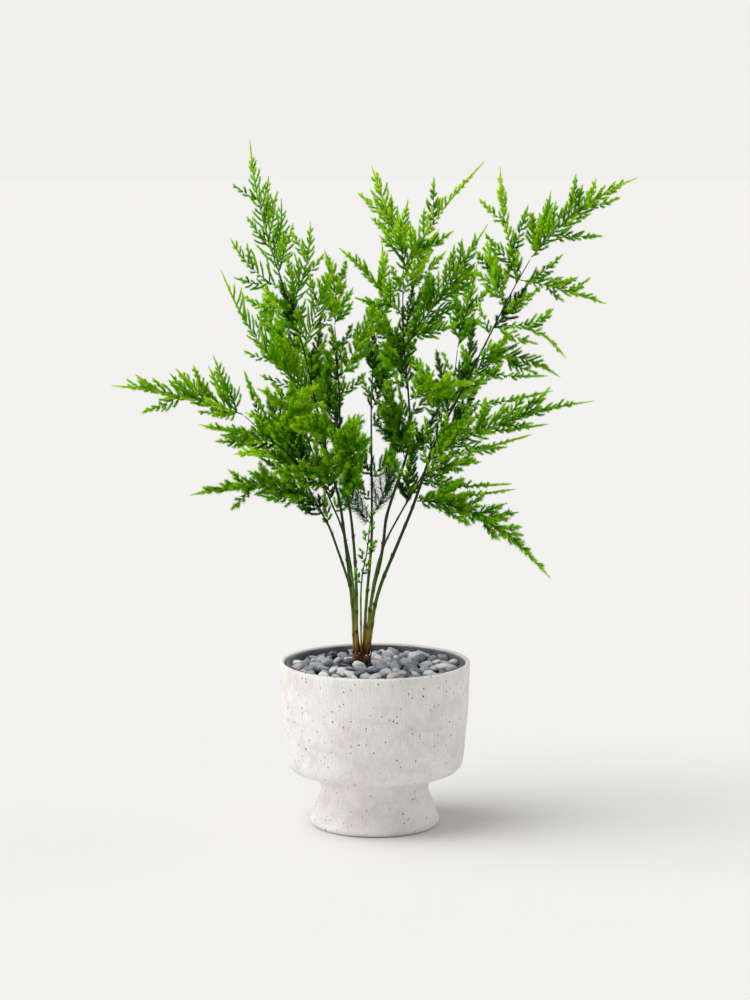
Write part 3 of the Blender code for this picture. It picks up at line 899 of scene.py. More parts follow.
@dataclass
class Rootstock:
    """The old crown that the canes rise from."""

    buds: int = 13
    bud: tuple[float, float] = (1.5 * MM, 3.0 * MM)  # thickness and width of a bud scale
    tall: tuple[float, float] = (9 * MM, 16 * MM)  # the shortest and the longest
    sunk: float = 6 * MM  # their feet lie this far below the stump's top
    seed: int = 5
    node: str = "rootstock"

    def build(self) -> None:
        """Swells a rough stump with a collar of dry bud scales."""
        low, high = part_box(self.node)
        middle, size = (low + high) / 2, (high - low) / 2
        rng = random.Random(self.seed)
        bm = bmesh.new()
        stump = bmesh.ops.create_icosphere(bm, subdivisions=4, radius=1.0)["verts"]
        for vert in stump:
            rough = 1 + 0.16 * noise.noise(vert.co * 2.3) + 0.07 * noise.noise(vert.co * 7)
            vert.co = Vector(a * b for a, b in zip(vert.co, size)) * rough + middle
        for k in range(self.buds):
            turn = math.tau * k / self.buds + rng.uniform(-0.3, 0.3)
            out = Vector((math.cos(turn), math.sin(turn), 0))
            foot = Vector((middle.x, middle.y, high.z - self.sunk)) + out * size.x * rng.uniform(0.6, 0.9)
            lean = (Vector((0, 0, 1)) + out * rng.uniform(0.0, 0.3)).normalized()
            long = rng.uniform(*self.tall)
            bmesh.ops.create_cone(
                bm, cap_ends=True, cap_tris=False, segments=7, radius1=1.0, radius2=0.0, depth=1.0,
                matrix=Matrix.Translation(foot + lean * long * 0.3)
                @ turned(lean, out)
                @ Matrix.Diagonal((*self.bud, long, 1)),
            )
        smooth(bm)
        as_piece("corky_rootstock", bm, BARK, self.node)


# -------------------------------------------------------------------- foliage


NEVER = 99.0  # longer than any twig, so that none branches


@dataclass(frozen=True)
class Habit:
    """How the small parts of a frond grow. Lengths are in metres, turns in degrees."""

    needle: float = 4.0 * MM
    girth: float = 0.55 * MM  # a real needle is half as thick, which would be lost from afar
    splay: float = 41.0  # of a needle from its twig
    tuft: int = 5  # needles in one tuft
    pitch: float = 1.6 * MM  # from one tuft to the next
    spacing: float = 3.4 * MM  # from one side twig to the next, which stands opposite
    open_foot: float = 56.0  # how far a side twig opens from the midrib at its foot
    open_tip: float = 30.0
    bend: float = 0.55  # how much of that is left at its tip
    branching: float = 15 * MM  # a side twig longer than this has twigs of its own
    twiglet: float = 0.38  # length of those twigs as a share of the side twig
    roll: float = 26.0  # how far the side twigs wander out of the frond's plane
    lift: float = 0.25  # how much the twigs turn up to the light
    fore: float = 0.35  # how many more twigs stand out of the frond's face, for one side twig
    bare: float = 0.55  # share of the midrib below its own needles
    leader: float = 0.88  # share of the midrib below its bare-sided tip


class Growth(Enum):
    """The named habits of this plant's fronds."""

    SPIRE = Habit(
        needle=3.1 * MM, girth=0.55 * MM, splay=31, pitch=1.5 * MM, spacing=3.3 * MM, open_foot=46,
        open_tip=34, bend=0.70, branching=30 * MM, roll=16, lift=0.28, fore=0.22, leader=0.86,
    )
    SERRATED = Habit(
        needle=3.5 * MM, girth=0.64 * MM, splay=36, spacing=3.1 * MM, open_foot=50, open_tip=33, bend=0.62,
        branching=19 * MM, twiglet=0.36, roll=24, fore=0.60, leader=0.85,
    )
    BUSHY = Habit(girth=0.62 * MM, spacing=3.2 * MM, branching=17 * MM, fore=0.70)
    SOFT = Habit(
        needle=4.6 * MM, girth=0.56 * MM, splay=43, spacing=3.3 * MM, branching=17 * MM, roll=38, fore=0.70
    )
    FEATHERY = Habit(
        needle=8.5 * MM, girth=0.31 * MM, splay=48, pitch=1.8 * MM, spacing=3.3 * MM, branching=NEVER,
        roll=60, fore=0.5, bare=0.3,
    )


class Tuft:
    """A few needles round a short stretch of twig, made once for each habit and copied."""

    variants = 4

    def __init__(self, habit: Habit, seed: int) -> None:
        """Makes the tuft's mesh.

        Args:
            habit: how its needles grow.
            seed: where their small differences come from.
        """
        rng = random.Random(seed)
        bm = bmesh.new()
        layer = bm.loops.layers.uv.new(UV)
        for k in range(habit.tuft):
            long = habit.needle * rng.uniform(0.78, 1.15)
            turn = Matrix.Rotation(math.tau * (k * 0.382 + rng.uniform(-0.05, 0.05)), 4, "Z")
            tilt = Matrix.Rotation(math.radians(habit.splay * rng.uniform(0.75, 1.2)), 4, "X")
            foot = Matrix.Translation((0, 0, habit.pitch * k / habit.tuft))
            verts = bmesh.ops.create_cone(
                bm, cap_ends=True, cap_tris=False, segments=3, radius1=habit.girth, radius2=0.0, depth=long,
                matrix=foot @ turn @ tilt @ Matrix.Translation((0, 0, long / 2)),
            )["verts"]
            own = rng.uniform(0.125, 0.165)
            base = foot.to_translation()
            for face in {f for v in verts for f in v.link_faces}:
                face.smooth = True
                for n, loop in enumerate(face.loops):
                    far = (loop.vert.co - base).length / long
                    loop[layer].uv = (own + 0.006 * n, 0.02 + 0.22 * min(1.0, far))
        self.mesh = bpy.data.meshes.new("tuft")
        bm.to_mesh(self.mesh)
        bm.free()
        self.hold()

    def hold(self) -> None:
        """Keeps the rest shape, to start each copy from."""
        self.rest = np.empty(len(self.mesh.vertices) * 3, np.float32)
        self.mesh.vertices.foreach_get("co", self.rest)
        self.loops = len(self.mesh.loops)

    def copy_to(self, bm: BMesh, place: Matrix) -> None:
        """Adds a copy at a place."""
        self.mesh.vertices.foreach_set("co", self.rest)
        self.mesh.transform(place)
        bm.from_mesh(self.mesh, face_normals=False, vertex_normals=False)


class TwigStretch(Tuft):
    """A straight stretch of fine twig, one unit long and one thick."""

    def __init__(self) -> None:
        """Makes the stretch's mesh."""
        bm = bmesh.new()
        layer = bm.loops.layers.uv.new(UV)
        bmesh.ops.create_cone(
            bm, cap_ends=True, cap_tris=False, segments=3, radius1=1.0, radius2=0.72, depth=1.0,
            matrix=Matrix.Translation((0, 0, 0.5)),
        )
        for face in bm.faces:
            face.smooth = True
            for n, loop in enumerate(face.loops):
                loop[layer].uv = (0.02 + 0.015 * n, 0.02 + 0.15 * loop.vert.co.z)
        self.mesh = bpy.data.meshes.new("twig")
        bm.to_mesh(self.mesh)
        bm.free()
        self.hold()


TUFTS: dict[Growth, list[Tuft]] = {
    growth: [Tuft(growth.value, 31 * i + k) for k in range(Tuft.variants)] for i, growth in enumerate(Growth)
}
TWIG = TwigStretch()


@dataclass
class Blade:
    """The space that a frond grows in: its midrib, and how far it reaches to either side."""

    rib: list[Vector]
    across: list[Vector]
    reach: list[tuple[float, float]]
    marks: list[float] = field(default_factory=list)

    def __post_init__(self) -> None:
        """Notes how far up the midrib each of its points is, from 0 to 1."""
        spans = np.cumsum([0.0] + [(b - a).length for a, b in zip(self.rib, self.rib[1:])])
        self.marks = [float(s) for s in spans / spans[-1]]

    @classmethod
    def of_node(cls, name: str, canes: Iterable[Cane]) -> "Blade":
        """Reads a frond's space from its CAD solid.

        Args:
            name: the CAD node.
            canes: the plant's canes, one of which it grows on.

        Returns:
            The blade, its foot first.
        """
        shell = shell_of(name)
        rings = loft_rings(shell, 4)
        first, last = rings[0][0].co, rings[-1][0].co
        if min(c.gap(last) for c in canes) < min(c.gap(first) for c in canes):
            rings.reverse()
        pairs = []
        for ring in rings[1:-1]:
            one = ring[0]
            near = {e.other_vert(one) for e in one.link_edges}
            partner = next(v for v in ring[1:] if v not in near)
            rest = [v for v in ring[1:] if v is not partner]
            pairs.append(((one.co.copy(), partner.co.copy()), (rest[0].co.copy(), rest[1].co.copy())))
        widest = max((p for pair in pairs for p in pair), key=lambda p: (p[0] - p[1]).length)
        guide = (widest[1] - widest[0]).normalized()
        if guide.x < 0:
            guide = -guide
        rib, across, reach = [rings[0][0].co.copy()], [], []
        for one, two in pairs:
            edge, ridge = sorted((one, two), key=lambda p: -abs((p[1] - p[0]).normalized().dot(guide)))
            left, right = edge if (edge[1] - edge[0]).dot(guide) > 0 else edge[::-1]
            middle = (ridge[0] + ridge[1]) / 2
            rib.append(middle)
            across.append((right - left).normalized())
            reach.append(((left - middle).length, (right - middle).length))
        rib.append(rings[-1][0].co.copy())
        shell.free()
        across = [across[0], *across, across[-1]]
        left, right, tip = SHAPED.get(name.removeprefix("frond_"), (1.0, 1.0, 1.0))
        slim = [1 + (tip - 1) * max(0.0, 2 * k / (len(reach) - 1) - 1) for k in range(len(reach))]
        shaped = ((a * left * s, b * right * s) for (a, b), s in zip(reach, slim))
        reach = [(0.3 * MM, 0.3 * MM), *shaped, (0.0, 0.0)]
        return cls(rib, across, reach)

    @classmethod
    def of_spray(cls, foot: Vector, middle: Vector, tip: Vector, half: float) -> "Blade":
        """Makes the space of a loose spray.

        Args:
            foot: where it grows from.
            middle: the middle of its midrib.
            tip: its end.
            half: its half-width.

        Returns:
            The blade.
        """
        rib = smooth_route([foot, middle, tip], (tip - foot).length / 8)
        along = (tip - foot).normalized()
        across = Vector((0, -1, 0)).cross(along)
        across = (across if across.length > 0.1 else Vector((1, 0, 0))).normalized()
        shares = (min(1.0, 0.12 + k / (len(rib) - 1)) for k in range(len(rib) - 1))
        wide = [math.sin(math.pi * share**0.8) ** 0.7 for share in shares]
        reach = [(half * w, half * w) for w in wide] + [(0.0, 0.0)]
        return cls(rib, [across] * len(rib), reach)

    def stations(self, step: float) -> Iterator[tuple[float, Vector, Vector, Vector]]:
        """Walks up the midrib.

        Args:
            step: the length of one pace.

        Yields:
            How far up it is from 0 to 1, the point, the way onward and the way across to the right.
        """
        route = smooth_route(self.rib, 1.5 * MM)
        marks = np.cumsum([0.0] + [(b - a).length for a, b in zip(route, route[1:])])
        spans = np.cumsum([0.0] + [(b - a).length for a, b in zip(self.rib, self.rib[1:])])
        spans *= marks[-1] / spans[-1]
        for s in np.arange(step * 0.5, marks[-1], step):
            i = min(int(np.searchsorted(marks, s)), len(route) - 1)
            onward = (route[min(i + 1, len(route) - 1)] - route[max(i - 2, 0)]).normalized()
            k = min(max(int(np.searchsorted(spans, s)), 1), len(self.rib) - 1)
            across = self.across[k - 1].lerp(self.across[k], 0.5)
            across = (across - onward * across.dot(onward)).normalized()
            yield s / marks[-1], route[i].copy(), onward, across

    def width_at(self, share: float) -> tuple[float, float]:
        """The reach to the left and the right at a share of the midrib's length."""
        k = min(max(bisect.bisect_right(self.marks, share), 1), len(self.marks) - 1)
        low, high = self.marks[k - 1], self.marks[k]
        t = min(1.0, max(0.0, (share - low) / (high - low)))
        return tuple(p + (q - p) * t for p, q in zip(self.reach[k - 1], self.reach[k]))


class Spray:
    """A frond: a midrib, side twigs to both sides of it, and needles round every twig."""

    twig_girth = 0.32 * MM
    twiglet_girth = 0.2 * MM
    twiglet_pace = 3.4 * MM
    least_twig = 3.0 * MM
    least_twiglet = 2.5 * MM
    oldest, youngest = 0.0, 0.76  # the part of the map that the needles' ages span

    def __init__(self, name: str, blade: Blade, growth: Growth, finish: NeedleSkin, seed: int) -> None:
        """Takes the frond's space and how it grows.

        Args:
            name: the piece's name.
            blade: the space that it fills.
            growth: its habit.
            finish: its greens.
            seed: where its small differences come from.
        """
        self.name, self.blade, self.growth, self.finish = name, blade, growth, finish
        self.habit = growth.value
        self.rng = random.Random(seed)
        self.bm = bmesh.new()
        self.layer = self.bm.loops.layers.uv.new(UV)
        self.shifts: list[tuple[int, float, float]] = []

    def put(self, shape: Tuft, place: Matrix, tint: float, age: float) -> None:
        """Adds a copy of a small shape and notes its colour."""
        shape.copy_to(self.bm, place)
        self.shifts.append((shape.loops, tint, age))

    def spike(self, route: list[Vector], thick: float, age: tuple[float, float], slim: float = 1.0) -> None:
        """Clothes a twig in needles.

        Args:
            route: the twig's points, a tuft apart.
            thick: its radius at the foot.
            age: how young it looks at its foot and at its tip, from 0 to 1.
            slim: how wide its needles spread, from 0 to 1.
        """
        count = len(route) - 1
        tint = self.rng.uniform(0.0, 0.74)
        guide = random_way(self.rng)
        for i in range(count):
            t = (i + 0.5) / count
            way = route[i + 1] - route[i]
            turn = turned(way, guide)
            if i % 3 == 0:
                j = min(i + 3, count)
                stretch = route[j] - route[i]
                girth = thick * (1 - 0.75 * t)
                self.put(
                    TWIG,
                    Matrix.Translation(route[i]) @ turned(stretch, guide)
                    @ Matrix.Diagonal((girth, girth, stretch.length, 1)),
                    self.rng.uniform(0, 0.03), 0.7 * (age[0] + (age[1] - age[0]) * t),
                )
            full = min(1.0, 0.80 + 0.8 * t) - 0.42 * max(0.0, (t - 0.6) / 0.4) ** 2
            wide = full * slim * (1.0 if t < 0.88 else 0.7)
            roll = Matrix.Rotation(self.rng.uniform(0, math.tau), 4, "Z")
            young = age[0] + (age[1] - age[0]) * t + self.rng.gauss(0, 0.04)
            self.put(
                self.rng.choice(TUFTS[self.growth]),
                Matrix.Translation(route[i]) @ turn @ roll @ Matrix.Diagonal((wide, wide, full, 1)),
                tint + self.rng.uniform(0, 0.06), min(self.youngest, max(self.oldest, young * self.youngest)),
            )

    def twig_route(self, foot: Vector, start: Vector, end: Vector, length: float) -> list[Vector]:
        """Bends a twig from one way to another.

        Args:
            foot: where it starts.
            start: the way it leaves.
            end: the way that its tip points.
            length: its length.

        Returns:
            Its points, a tuft apart.
        """
        count = max(2, round(length / self.habit.pitch))
        point, route = foot.copy(), [foot.copy()]
        for k in range(count):
            way = start.lerp(end, min(1.0, k / count * 1.25)).normalized()
            point = point + way * (length / count)
            route.append(point.copy())
        return route

    def side_twig(
        self, foot: Vector, onward: Vector, side: Vector, length: float, share: float, painted_front_light: float = 0.0
    ) -> None:
        """Grows one side twig and, if it is long, its own twigs.

        Args:
            foot: the point on the midrib.
            onward: the midrib's way there.
            side: the way out to this side.
            length: the twig's length.
            share: how far up the midrib it is, from 0 to 1.
            painted_front_light: how much lighter it is painted: painted light when it faces the front,
                painted shade (below 0) when it faces the back.
        """
        habit, rng = self.habit, self.rng
        opening = math.radians(habit.open_foot + (habit.open_tip - habit.open_foot) * share + rng.gauss(0, 7))
        start = onward * math.cos(opening) + side * math.sin(opening)
        ending = opening * habit.bend * rng.uniform(0.7, 1.2)
        end = onward * math.cos(ending) + side * math.sin(ending)
        end = (end + Vector((0, 0, habit.lift * rng.uniform(0.4, 1.5)))).normalized()
        route = self.twig_route(foot, start, end, length)
        # A twig is painted darker near the midrib's foot: partly age, partly painted shade of the canopy's
        # inside.
        inner = max(0.0, 0.12 + 0.30 * share + painted_front_light + rng.gauss(0, 0.10))
        ages = (inner, min(1.0, inner + 0.34 + 0.30 * rng.random()))
        self.spike(route, self.twig_girth, ages)
        if length < habit.branching:
            return
        normal = start.cross(end)
        normal = normal.normalized() if normal.length > 0.05 else onward.cross(side).normalized()
        pace = max(2, round(self.twiglet_pace / habit.pitch))
        for n, i in enumerate(range(1, int(len(route) * 0.78), pace)):
            t = i / len(route)
            own = length * habit.twiglet * (1.05 - t) * rng.uniform(0.75, 1.2)
            if own < self.least_twiglet:
                continue
            way = (route[i + 1] - route[i]).normalized()
            out = way.cross(normal) * (1 if n % 2 else -1)
            out.rotate(Matrix.Rotation(rng.gauss(0, math.radians(habit.roll)), 3, way))
            open_ = math.radians(rng.uniform(34, 52))
            leave = way * math.cos(open_) + out * math.sin(open_)
            reach = way * math.cos(open_ * 0.45) + out * math.sin(open_ * 0.45)
            mine = self.twig_route(route[i], leave, reach, own)
            self.spike(mine, self.twiglet_girth, (ages[0] + 0.1, min(1.0, ages[1] + 0.08)), 0.9)

    def length_to(self, share: float, opening: float, left: bool, whole: float) -> float:
        """How long a side twig is that ends on the blade's edge.

        Args:
            share: how far up the midrib its foot is.
            opening: its mean turn from the midrib, in radians.
            left: whether it grows on the left.
            whole: the midrib's length.

        Returns:
            The length.
        """
        side, pace, length = (0 if left else 1), 1.0 * MM, 0.0
        while length < whole:
            there = share + (length + pace) * math.cos(opening) / whole
            if there >= 1.0 or (length + pace) * math.sin(opening) > self.blade.width_at(there)[side]:
                break
            length += pace
        return length

    def build(self, *nodes: str) -> bpy.types.Object:
        """Grows the frond and makes it a piece.

        Args:
            nodes: the CAD nodes that it stands for.

        Returns:
            The piece.
        """
        habit, rng, blade = self.habit, self.rng, self.blade
        rib = smooth_route(blade.rib, 4 * MM)
        whole = sum((b - a).length for a, b in zip(rib, rib[1:]))
        thick = 0.26 * MM + 0.0026 * whole
        radii = [thick * (1 - 0.8 * k / (len(rib) - 1)) for k in range(len(rib))]
        tube(self.bm, rib, radii, 5)
        self.bm.normal_update()
        for face in self.bm.faces:
            face.smooth = True
            for n, loop in enumerate(face.loops):
                up = (loop.vert.co - rib[0]).length / max(whole, 1e-6)
                loop[self.layer].uv = (0.01 + 0.02 * n, min(0.95, 0.1 + 0.6 * up))
        self.shifts.append((sum(len(f.loops) for f in self.bm.faces), 0.0, 0.0))
        left = rng.random() < 0.5
        for share, point, onward, across in blade.stations(habit.spacing):
            left = not left
            if share > habit.leader:
                continue
            mean = math.radians((habit.open_foot + (habit.open_tip - habit.open_foot) * share) * 0.72)
            length = self.length_to(share, mean, left, whole) * rng.uniform(0.50, 1.14)
            length = min(length, 0.6 * whole)
            if length < self.least_twig:
                if rng.random() < 0.5:
                    continue
                length = self.least_twig
            side = across * (-1 if left else 1)
            if rng.random() < habit.fore:
                out = onward.cross(across) * rng.choice((-1, 1))
                out.rotate(Matrix.Rotation(rng.gauss(0, math.radians(35)), 3, onward))
                # Twigs out of the frond's face are painted lighter when they face the front and darker when
                # they face the back: painted light and painted shade.
                self.side_twig(point, onward, out, length * rng.uniform(0.45, 0.85), share, -0.28 * out.y)
            side.rotate(Matrix.Rotation(rng.gauss(0, math.radians(habit.roll)), 3, onward))
            self.side_twig(point, onward, side, length, share)
        bare = smooth_route(blade.rib, habit.pitch)
        first = int(len(bare) * habit.bare)
        self.spike(bare[first:], self.twiglet_girth, (0.45, 1.0))
        mesh = bpy.data.meshes.new(self.name)
        self.bm.to_mesh(mesh)
        self.bm.free()
        self.tint(mesh)
        return as_piece(self.name, mesh, self.finish, *nodes)

    def tint(self, mesh: bpy.types.Mesh) -> None:
        """Moves each copy's patch of the map to its own tint and age."""
        corners = mesh.uv_layers[UV].data
        spots = np.empty(len(corners) * 2, np.float32)
        corners.foreach_get("uv", spots)
        moves = np.repeat(
            np.array([s[1:] for s in self.shifts], np.float32), [s[0] for s in self.shifts], axis=0
        )
        spots = np.clip(spots.reshape(-1, 2) + moves, 0.002, 0.998)
        corners.foreach_set("uv", spots.ravel())


# Which habit and which greens each frond has; the rest are bushy, in the FRESH greens. The SUNLIT, BRIGHT,
# DEEP and SHADED greens are painted light and painted shade, given by how brightly each frond is lit.
SPIRES = ("tall_tip", "tall_left", "tall_right", "second_left", "tall_inner")
SERRATES = (
    "main_tip", "main_left", "main_right", "rear_tip", "rear_right", "top_left", "top_right", "centre_tip",
    "upper_right", "right_upper", "right_middle", "right_long", "upper_left", "arch_tip", "arch_mid",
    "tall_outer",
)
SOFTS = (
    "arch_low", "front_clump", "front_fan", "front_left", "left_front", "left_bright", "arch_plume",
    "lower_right",
)
FEATHERS = ("dark_left", "dark_right")
SUNLITS = ("top_left", "top_right", "upper_mid", "main_left")
BRIGHTS = (
    "arch_light", "arch_mid", "arch_plume", "arch_tip", "centre_tip", "inner_right", "inner_tip",
    "left_bright", "main_cluster", "main_right", "main_tip", "middle_right", "right_upper", "second_left",
    "tall_inner", "tall_left", "tall_outer", "tall_right", "tall_tip", "upper_left",
)
DEEPS = ("arch_back", "centre_back", "front_fan", "rear_right")
# How much of its space a frond fills to the left and to the right, and how much of that is left at its tip.
SHAPED = {
    "arch_tip": (1.0, 0.85, 0.6), "centre_tip": (0.4, 1.0, 1.0), "inner_tip": (1.0, 1.0, 0.55),
    "lower_right": (1.0, 1.0, 0.45), "main_left": (0.35, 1.0, 1.0), "main_right": (0.35, 1.0, 1.0),
    "main_tip": (1.0, 0.8, 0.5), "rear_tip": (1.0, 0.75, 1.0), "right_long": (1.0, 1.0, 0.55),
    "right_middle": (1.0, 0.8, 0.55), "right_upper": (0.35, 0.3, 0.3), "tall_left": (0.7, 1.0, 1.0),
    "tall_tip": (1.0, 0.85, 0.55), "top_left": (0.55, 1.0, 1.0), "top_right": (0.75, 0.15, 0.45),
    "upper_left": (0.45, 1.0, 1.0), "upper_mid": (0.7, 1.0, 0.45),
}


def dress_of(name: str) -> tuple[Growth, NeedleSkin]:
    """Chooses a frond's habit and greens by its name.

    Args:
        name: the frond's CAD node.

    Returns:
        The habit and the finish.
    """
    short = name.removeprefix("frond_")
    growth = Growth.BUSHY
    for names, choice in (
        (SPIRES, Growth.SPIRE), (SERRATES, Growth.SERRATED), (SOFTS, Growth.SOFT),
        (FEATHERS, Growth.FEATHERY),
    ):
        if short in names:
            growth = choice
    finish = FRESH
    for names, choice in ((SUNLITS, SUNLIT), (BRIGHTS, BRIGHT), (DEEPS, DEEP)):
        if short in names:
            finish = choice
    return growth, BLUISH if short in FEATHERS else finish


@dataclass(frozen=True)
class Offshoots:
    """Sprays too small for a solid of their own, which leave a cane or a midrib to either side by turns."""

    every: float  # length of cane or midrib from one to the next
    first: float  # share of its length that is bare below the first
    last: float  # share of its length where the last may leave
    long: tuple[float, float]  # the shortest and the longest
    slender: float = 0.19  # half-width, as a share of the length
    turn: float = 36.0  # degrees that they turn away
    lift: float = 0.30  # how much they bend up again by their tips
    back: float = 0.0  # how far they lean away from the front
    roam: float = 0.22  # how far they stray to the front and the back

    def blades(self, route: list[Vector], rng: random.Random) -> Iterator[Blade]:
        """Places the sprays along a cane or a midrib.

        Args:
            route: its points, foot first, evenly spaced.
            rng: where their small differences come from.

        Yields:
            The space that each fills. One that would leave the frame's box is left out.
        """
        whole = sum((b - a).length for a, b in zip(route, route[1:]))
        low, high = (Vector(corner) for corner in CAD_BOX)
        left = rng.random() < 0.5
        place = self.first * whole + rng.uniform(0.2, 0.8) * self.every
        while place < self.last * whole:
            i = min(len(route) - 2, int(place / whole * (len(route) - 1)))
            onward = (route[i + 1] - route[max(i - 1, 0)]).normalized()
            across = Vector((0, -1, 0)).cross(onward).normalized() * (-1 if left else 1)
            opening = math.radians(self.turn + rng.gauss(0, 8))
            start = onward * math.cos(opening) + across * math.sin(opening)
            start.y += self.back + rng.gauss(0, self.roam)
            end = (start.normalized() + Vector((0, 0, self.lift * rng.uniform(0.4, 1.4)))).normalized()
            length = rng.uniform(*self.long) * (1.1 - 0.45 * place / whole)
            middle = route[i] + start.normalized() * length / 2
            tip = middle + end * length / 2
            if all(a < t < b for a, t, b in zip(low, tip, high)):
                yield Blade.of_spray(route[i].copy(), middle, tip, self.slender * length)
            left, place = not left, place + self.every * rng.uniform(0.75, 1.25)


BESIDE = Offshoots(every=24 * MM, first=0.0, last=0.60, long=(28 * MM, 48 * MM))
ABOVE = Offshoots(every=22 * MM, first=0.44, last=0.94, long=(36 * MM, 62 * MM))
BEHIND = Offshoots(
    every=52 * MM, first=0.46, last=0.90, long=(62 * MM, 88 * MM), slender=0.17, turn=16.0, back=0.30,
    roam=0.08,
)
SPRIG = Offshoots(every=11 * MM, first=0.45, last=0.98, long=(16 * MM, 24 * MM), slender=0.30, turn=20.0)


@dataclass(frozen=True)
class Runner:
    """A slender spray that stands clear of its cane."""

    cane: str
    side: int  # the side that it grows to, 1 for the right
    share: float  # how far up the cane it leaves
    rise: float  # its slope in degrees
    length: float
    half: float = 4 * MM
    forward: float = 0.15  # how far it leans to the front, as a share of its length
    curl: float = 4 * MM  # how far its tip turns up

    def blade(self, route: list[Vector]) -> Blade:
        """The space that it fills.

        Args:
            route: its cane's points, foot first.

        Returns:
            The blade.
        """
        foot, climb = route[int(self.share * (len(route) - 1))], math.radians(self.rise)
        way = Vector((self.side * math.cos(climb), -self.forward, math.sin(climb))) * self.length
        return Blade.of_spray(foot, foot + way / 2, foot + way + Vector((0, 0, self.curl)), self.half)


RUNNERS = (
    Runner("stem_right_main", 1, 0.40, 4, 92 * MM),
    Runner("stem_right_main", 1, 0.44, -2, 84 * MM),
    Runner("stem_right_main", 1, 0.50, 12, 96 * MM),
    Runner("stem_right_main", 1, 0.56, 4, 100 * MM),
    Runner("stem_right_main", 1, 0.63, 8, 92 * MM),
    Runner("stem_right_main", 1, 0.72, -6, 70 * MM),
    Runner("stem_left_arch", -1, 0.80, 62, 70 * MM),
    Runner("stem_left_arch", -1, 0.88, 70, 62 * MM),
)


class Seed(IntEnum):
    """Where the small differences of each kind of piece start from."""

    CANE = 40
    FROND = 700
    BESIDE = 900
    SPRIG = 1000
    ABOVE = 1100
    BEHIND = 1200
    RUNNER = 1300


@dataclass
class Plant:
    """The canes, the rootstock and all the foliage."""

    canes: dict[str, Cane] = field(default_factory=dict)

    def __post_init__(self) -> None:
        """Finds the canes in the frame."""
        names = sorted(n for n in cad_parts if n.startswith("stem_"))
        self.canes = {name: Cane(name, Seed.CANE + i) for i, name in enumerate(names)}

    def build(self) -> None:
        """Builds every piece of the plant."""
        Rootstock().build()
        for cane in self.canes.values():
            cane.build()
        fronds = sorted(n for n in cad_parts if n.startswith("frond_"))
        for i, name in enumerate(fronds):
            growth, finish = dress_of(name)
            blade = Blade.of_node(name, self.canes.values())
            Spray(name + "_spray", blade, growth, finish, Seed.FROND + i).build(name)
            if growth is not Growth.FEATHERY:
                rib = smooth_route(blade.rib, 3 * MM)
                short = name.removeprefix("frond_")
                self.grow(BESIDE, f"spray_{short}", rib, (growth,), (finish, FRESH), Seed.BESIDE + i)
        for i, (name, cane) in enumerate(self.canes.items()):
            short = name.removeprefix("stem_")
            if short == "low_sprig":
                self.grow(SPRIG, f"spray_{short}", cane.route, (Growth.SPIRE,), (FRESH,), Seed.SPRIG)
                continue
            habits = (Growth.SERRATED, Growth.BUSHY)
            self.grow(ABOVE, f"spray_{short}", cane.route, habits, (FRESH, BRIGHT, DEEP), Seed.ABOVE + i)
            label = f"spray_{short}_shaded"
            self.grow(BEHIND, label, cane.route, (Growth.BUSHY,), (SHADED,), Seed.BEHIND + i)
        for i, runner in enumerate(RUNNERS):
            blade = runner.blade(self.canes[runner.cane].route)
            finish = (BRIGHT, FRESH)[i % 2]
            Spray(f"runner_{i + 1:02d}", blade, Growth.SERRATED, finish, Seed.RUNNER + i).build()

    def grow(
        self,
        rule: Offshoots,
        label: str,
        route: list[Vector],
        habits: tuple[Growth, ...],
        greens: tuple[NeedleSkin, ...],
        seed: int,
    ) -> None:
        """Builds the offshoots of one cane or midrib.

        Args:
            rule: how they leave it.
            label: what their pieces are named after.
            route: its points, foot first.
            habits: the habits that they may have.
            greens: the greens that they may have.
            seed: where their small differences come from.
        """
        rng = random.Random(seed)
        for n, blade in enumerate(rule.blades(route, rng), 1):
            Spray(f"{label}_{n:02d}", blade, rng.choice(habits), rng.choice(greens), seed * 10 + n).build()


# --------------------------------------------------------------------- studio


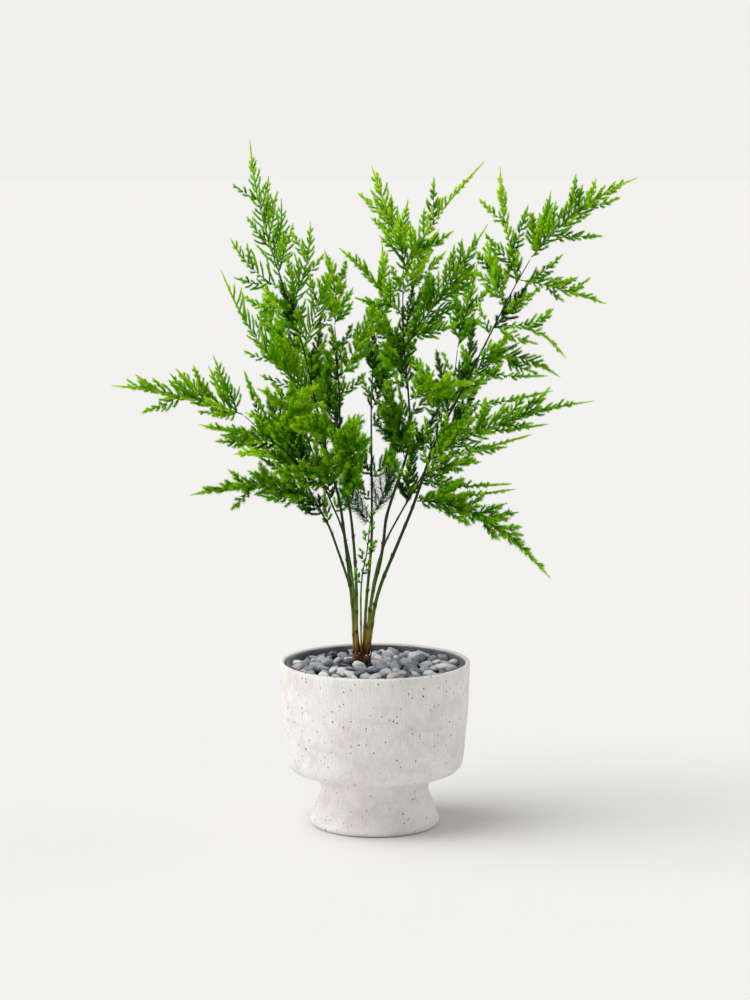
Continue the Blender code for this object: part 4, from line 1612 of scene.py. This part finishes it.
@dataclass
class Studio:
    """Pale paper floor, an even sky, three wide soft lamps, the brightest overhead, and the camera."""

    backdrop: str = "f1f0ee"
    ambient: float = 0.49  # the sky's radiance
    key: float = 0.68  # what the large light overhead adds to a white sheet that faces it
    key_from: tuple[float, float, float] = (-0.46, -0.08, 1.0)
    side: float = 0.42  # the same, for the low light on the left
    side_from: tuple[float, float, float] = (-0.98, -0.16, 0.14)
    fill: float = 0.22  # the same, for the low light behind on the right
    fill_from: tuple[float, float, float] = (0.96, 0.26, 0.14)
    lamp_width: float = 46.0  # the apparent width of each, in degrees
    camera_at: tuple[float, float, float] = (0.0, -2.54, 0.66)
    pitch: float = 7.85  # the camera looks down by this many degrees
    lens: float = 98.4
    floor_radius: float = 30.0

    def build(self) -> None:
        """Makes the floor, the lights and the camera."""
        scene = bpy.context.scene
        scene.view_settings.view_transform = "Standard"
        pale = linear(self.backdrop)
        bm = bmesh.new()
        bmesh.ops.create_circle(bm, cap_ends=True, segments=96, radius=self.floor_radius)
        mesh = bpy.data.meshes.new("paper_floor")
        bm.to_mesh(mesh)
        bm.free()
        lit = self.ambient + self.lamp("soft_key", self.key, self.key_from)
        lit += self.lamp("soft_side", self.side, self.side_from)
        lit += self.lamp("soft_fill", self.fill, self.fill_from)
        shade = tuple(c / lit for c in pale[:3]) + (1.0,)
        mesh.materials.append(SeamlessPaper("seamless_studio_paper", "floor", 1.0, 1.3, shade).material())
        floor = bpy.data.objects.new("paper_floor", mesh)
        scene.collection.objects.link(floor)
        self.sky(scene, pale)
        data = bpy.data.cameras.new("studio_camera")
        data.lens, data.sensor_width, data.clip_end = self.lens, 36.0, 100.0
        camera = bpy.data.objects.new("studio_camera", data)
        camera.location = self.camera_at
        camera.rotation_euler = (math.radians(90 - self.pitch), 0, 0)
        scene.collection.objects.link(camera)
        scene.camera = camera

    def lamp(self, name: str, strength: float, toward: tuple[float, float, float]) -> float:
        """Hangs one large soft light.

        Args:
            name: its name.
            strength: what it adds to a white sheet that faces it, as radiance.
            toward: the way to it.

        Returns:
            What it adds to a white sheet on the floor.
        """
        way = Vector(toward).normalized()
        data = bpy.data.lights.new(name, "SUN")
        data.energy = math.pi * strength
        data.angle = math.radians(self.lamp_width)
        lamp = bpy.data.objects.new(name, data)
        lamp.rotation_euler = way.to_track_quat("Z", "Y").to_euler()
        bpy.context.scene.collection.objects.link(lamp)
        return strength * way.z

    def sky(self, scene: bpy.types.Scene, pale: tuple[float, float, float, float]) -> None:
        """Makes the even sky.

        Args:
            scene: the scene.
            pale: the colour that the sky shows behind the object.
        """
        world = bpy.data.worlds.new("studio_sky")
        scene.world = world
        world.use_nodes = True
        tree = world.node_tree
        tree.nodes.clear()
        lit = add(tree, "Background", {"Color": (1, 1, 1, 1), "Strength": self.ambient})
        seen = add(tree, "Background", {"Color": pale, "Strength": 1.0})
        path = add(tree, "LightPath")
        both = add(
            tree, "MixShader",
            {0: path.outputs["Is Camera Ray"], 1: lit.outputs["Background"], 2: seen.outputs["Background"]},
        )
        add(tree, "OutputWorld", {"Surface": both.outputs["Shader"]})


def main() -> None:
    """Builds the studio, the pot and the plant."""
    Studio().build()
    FootedPot().build()
    Filling().build()
    Plant().build()


if __name__ == "__main__":
    logging.basicConfig(level=logging.INFO, format="%(message)s")
    main()
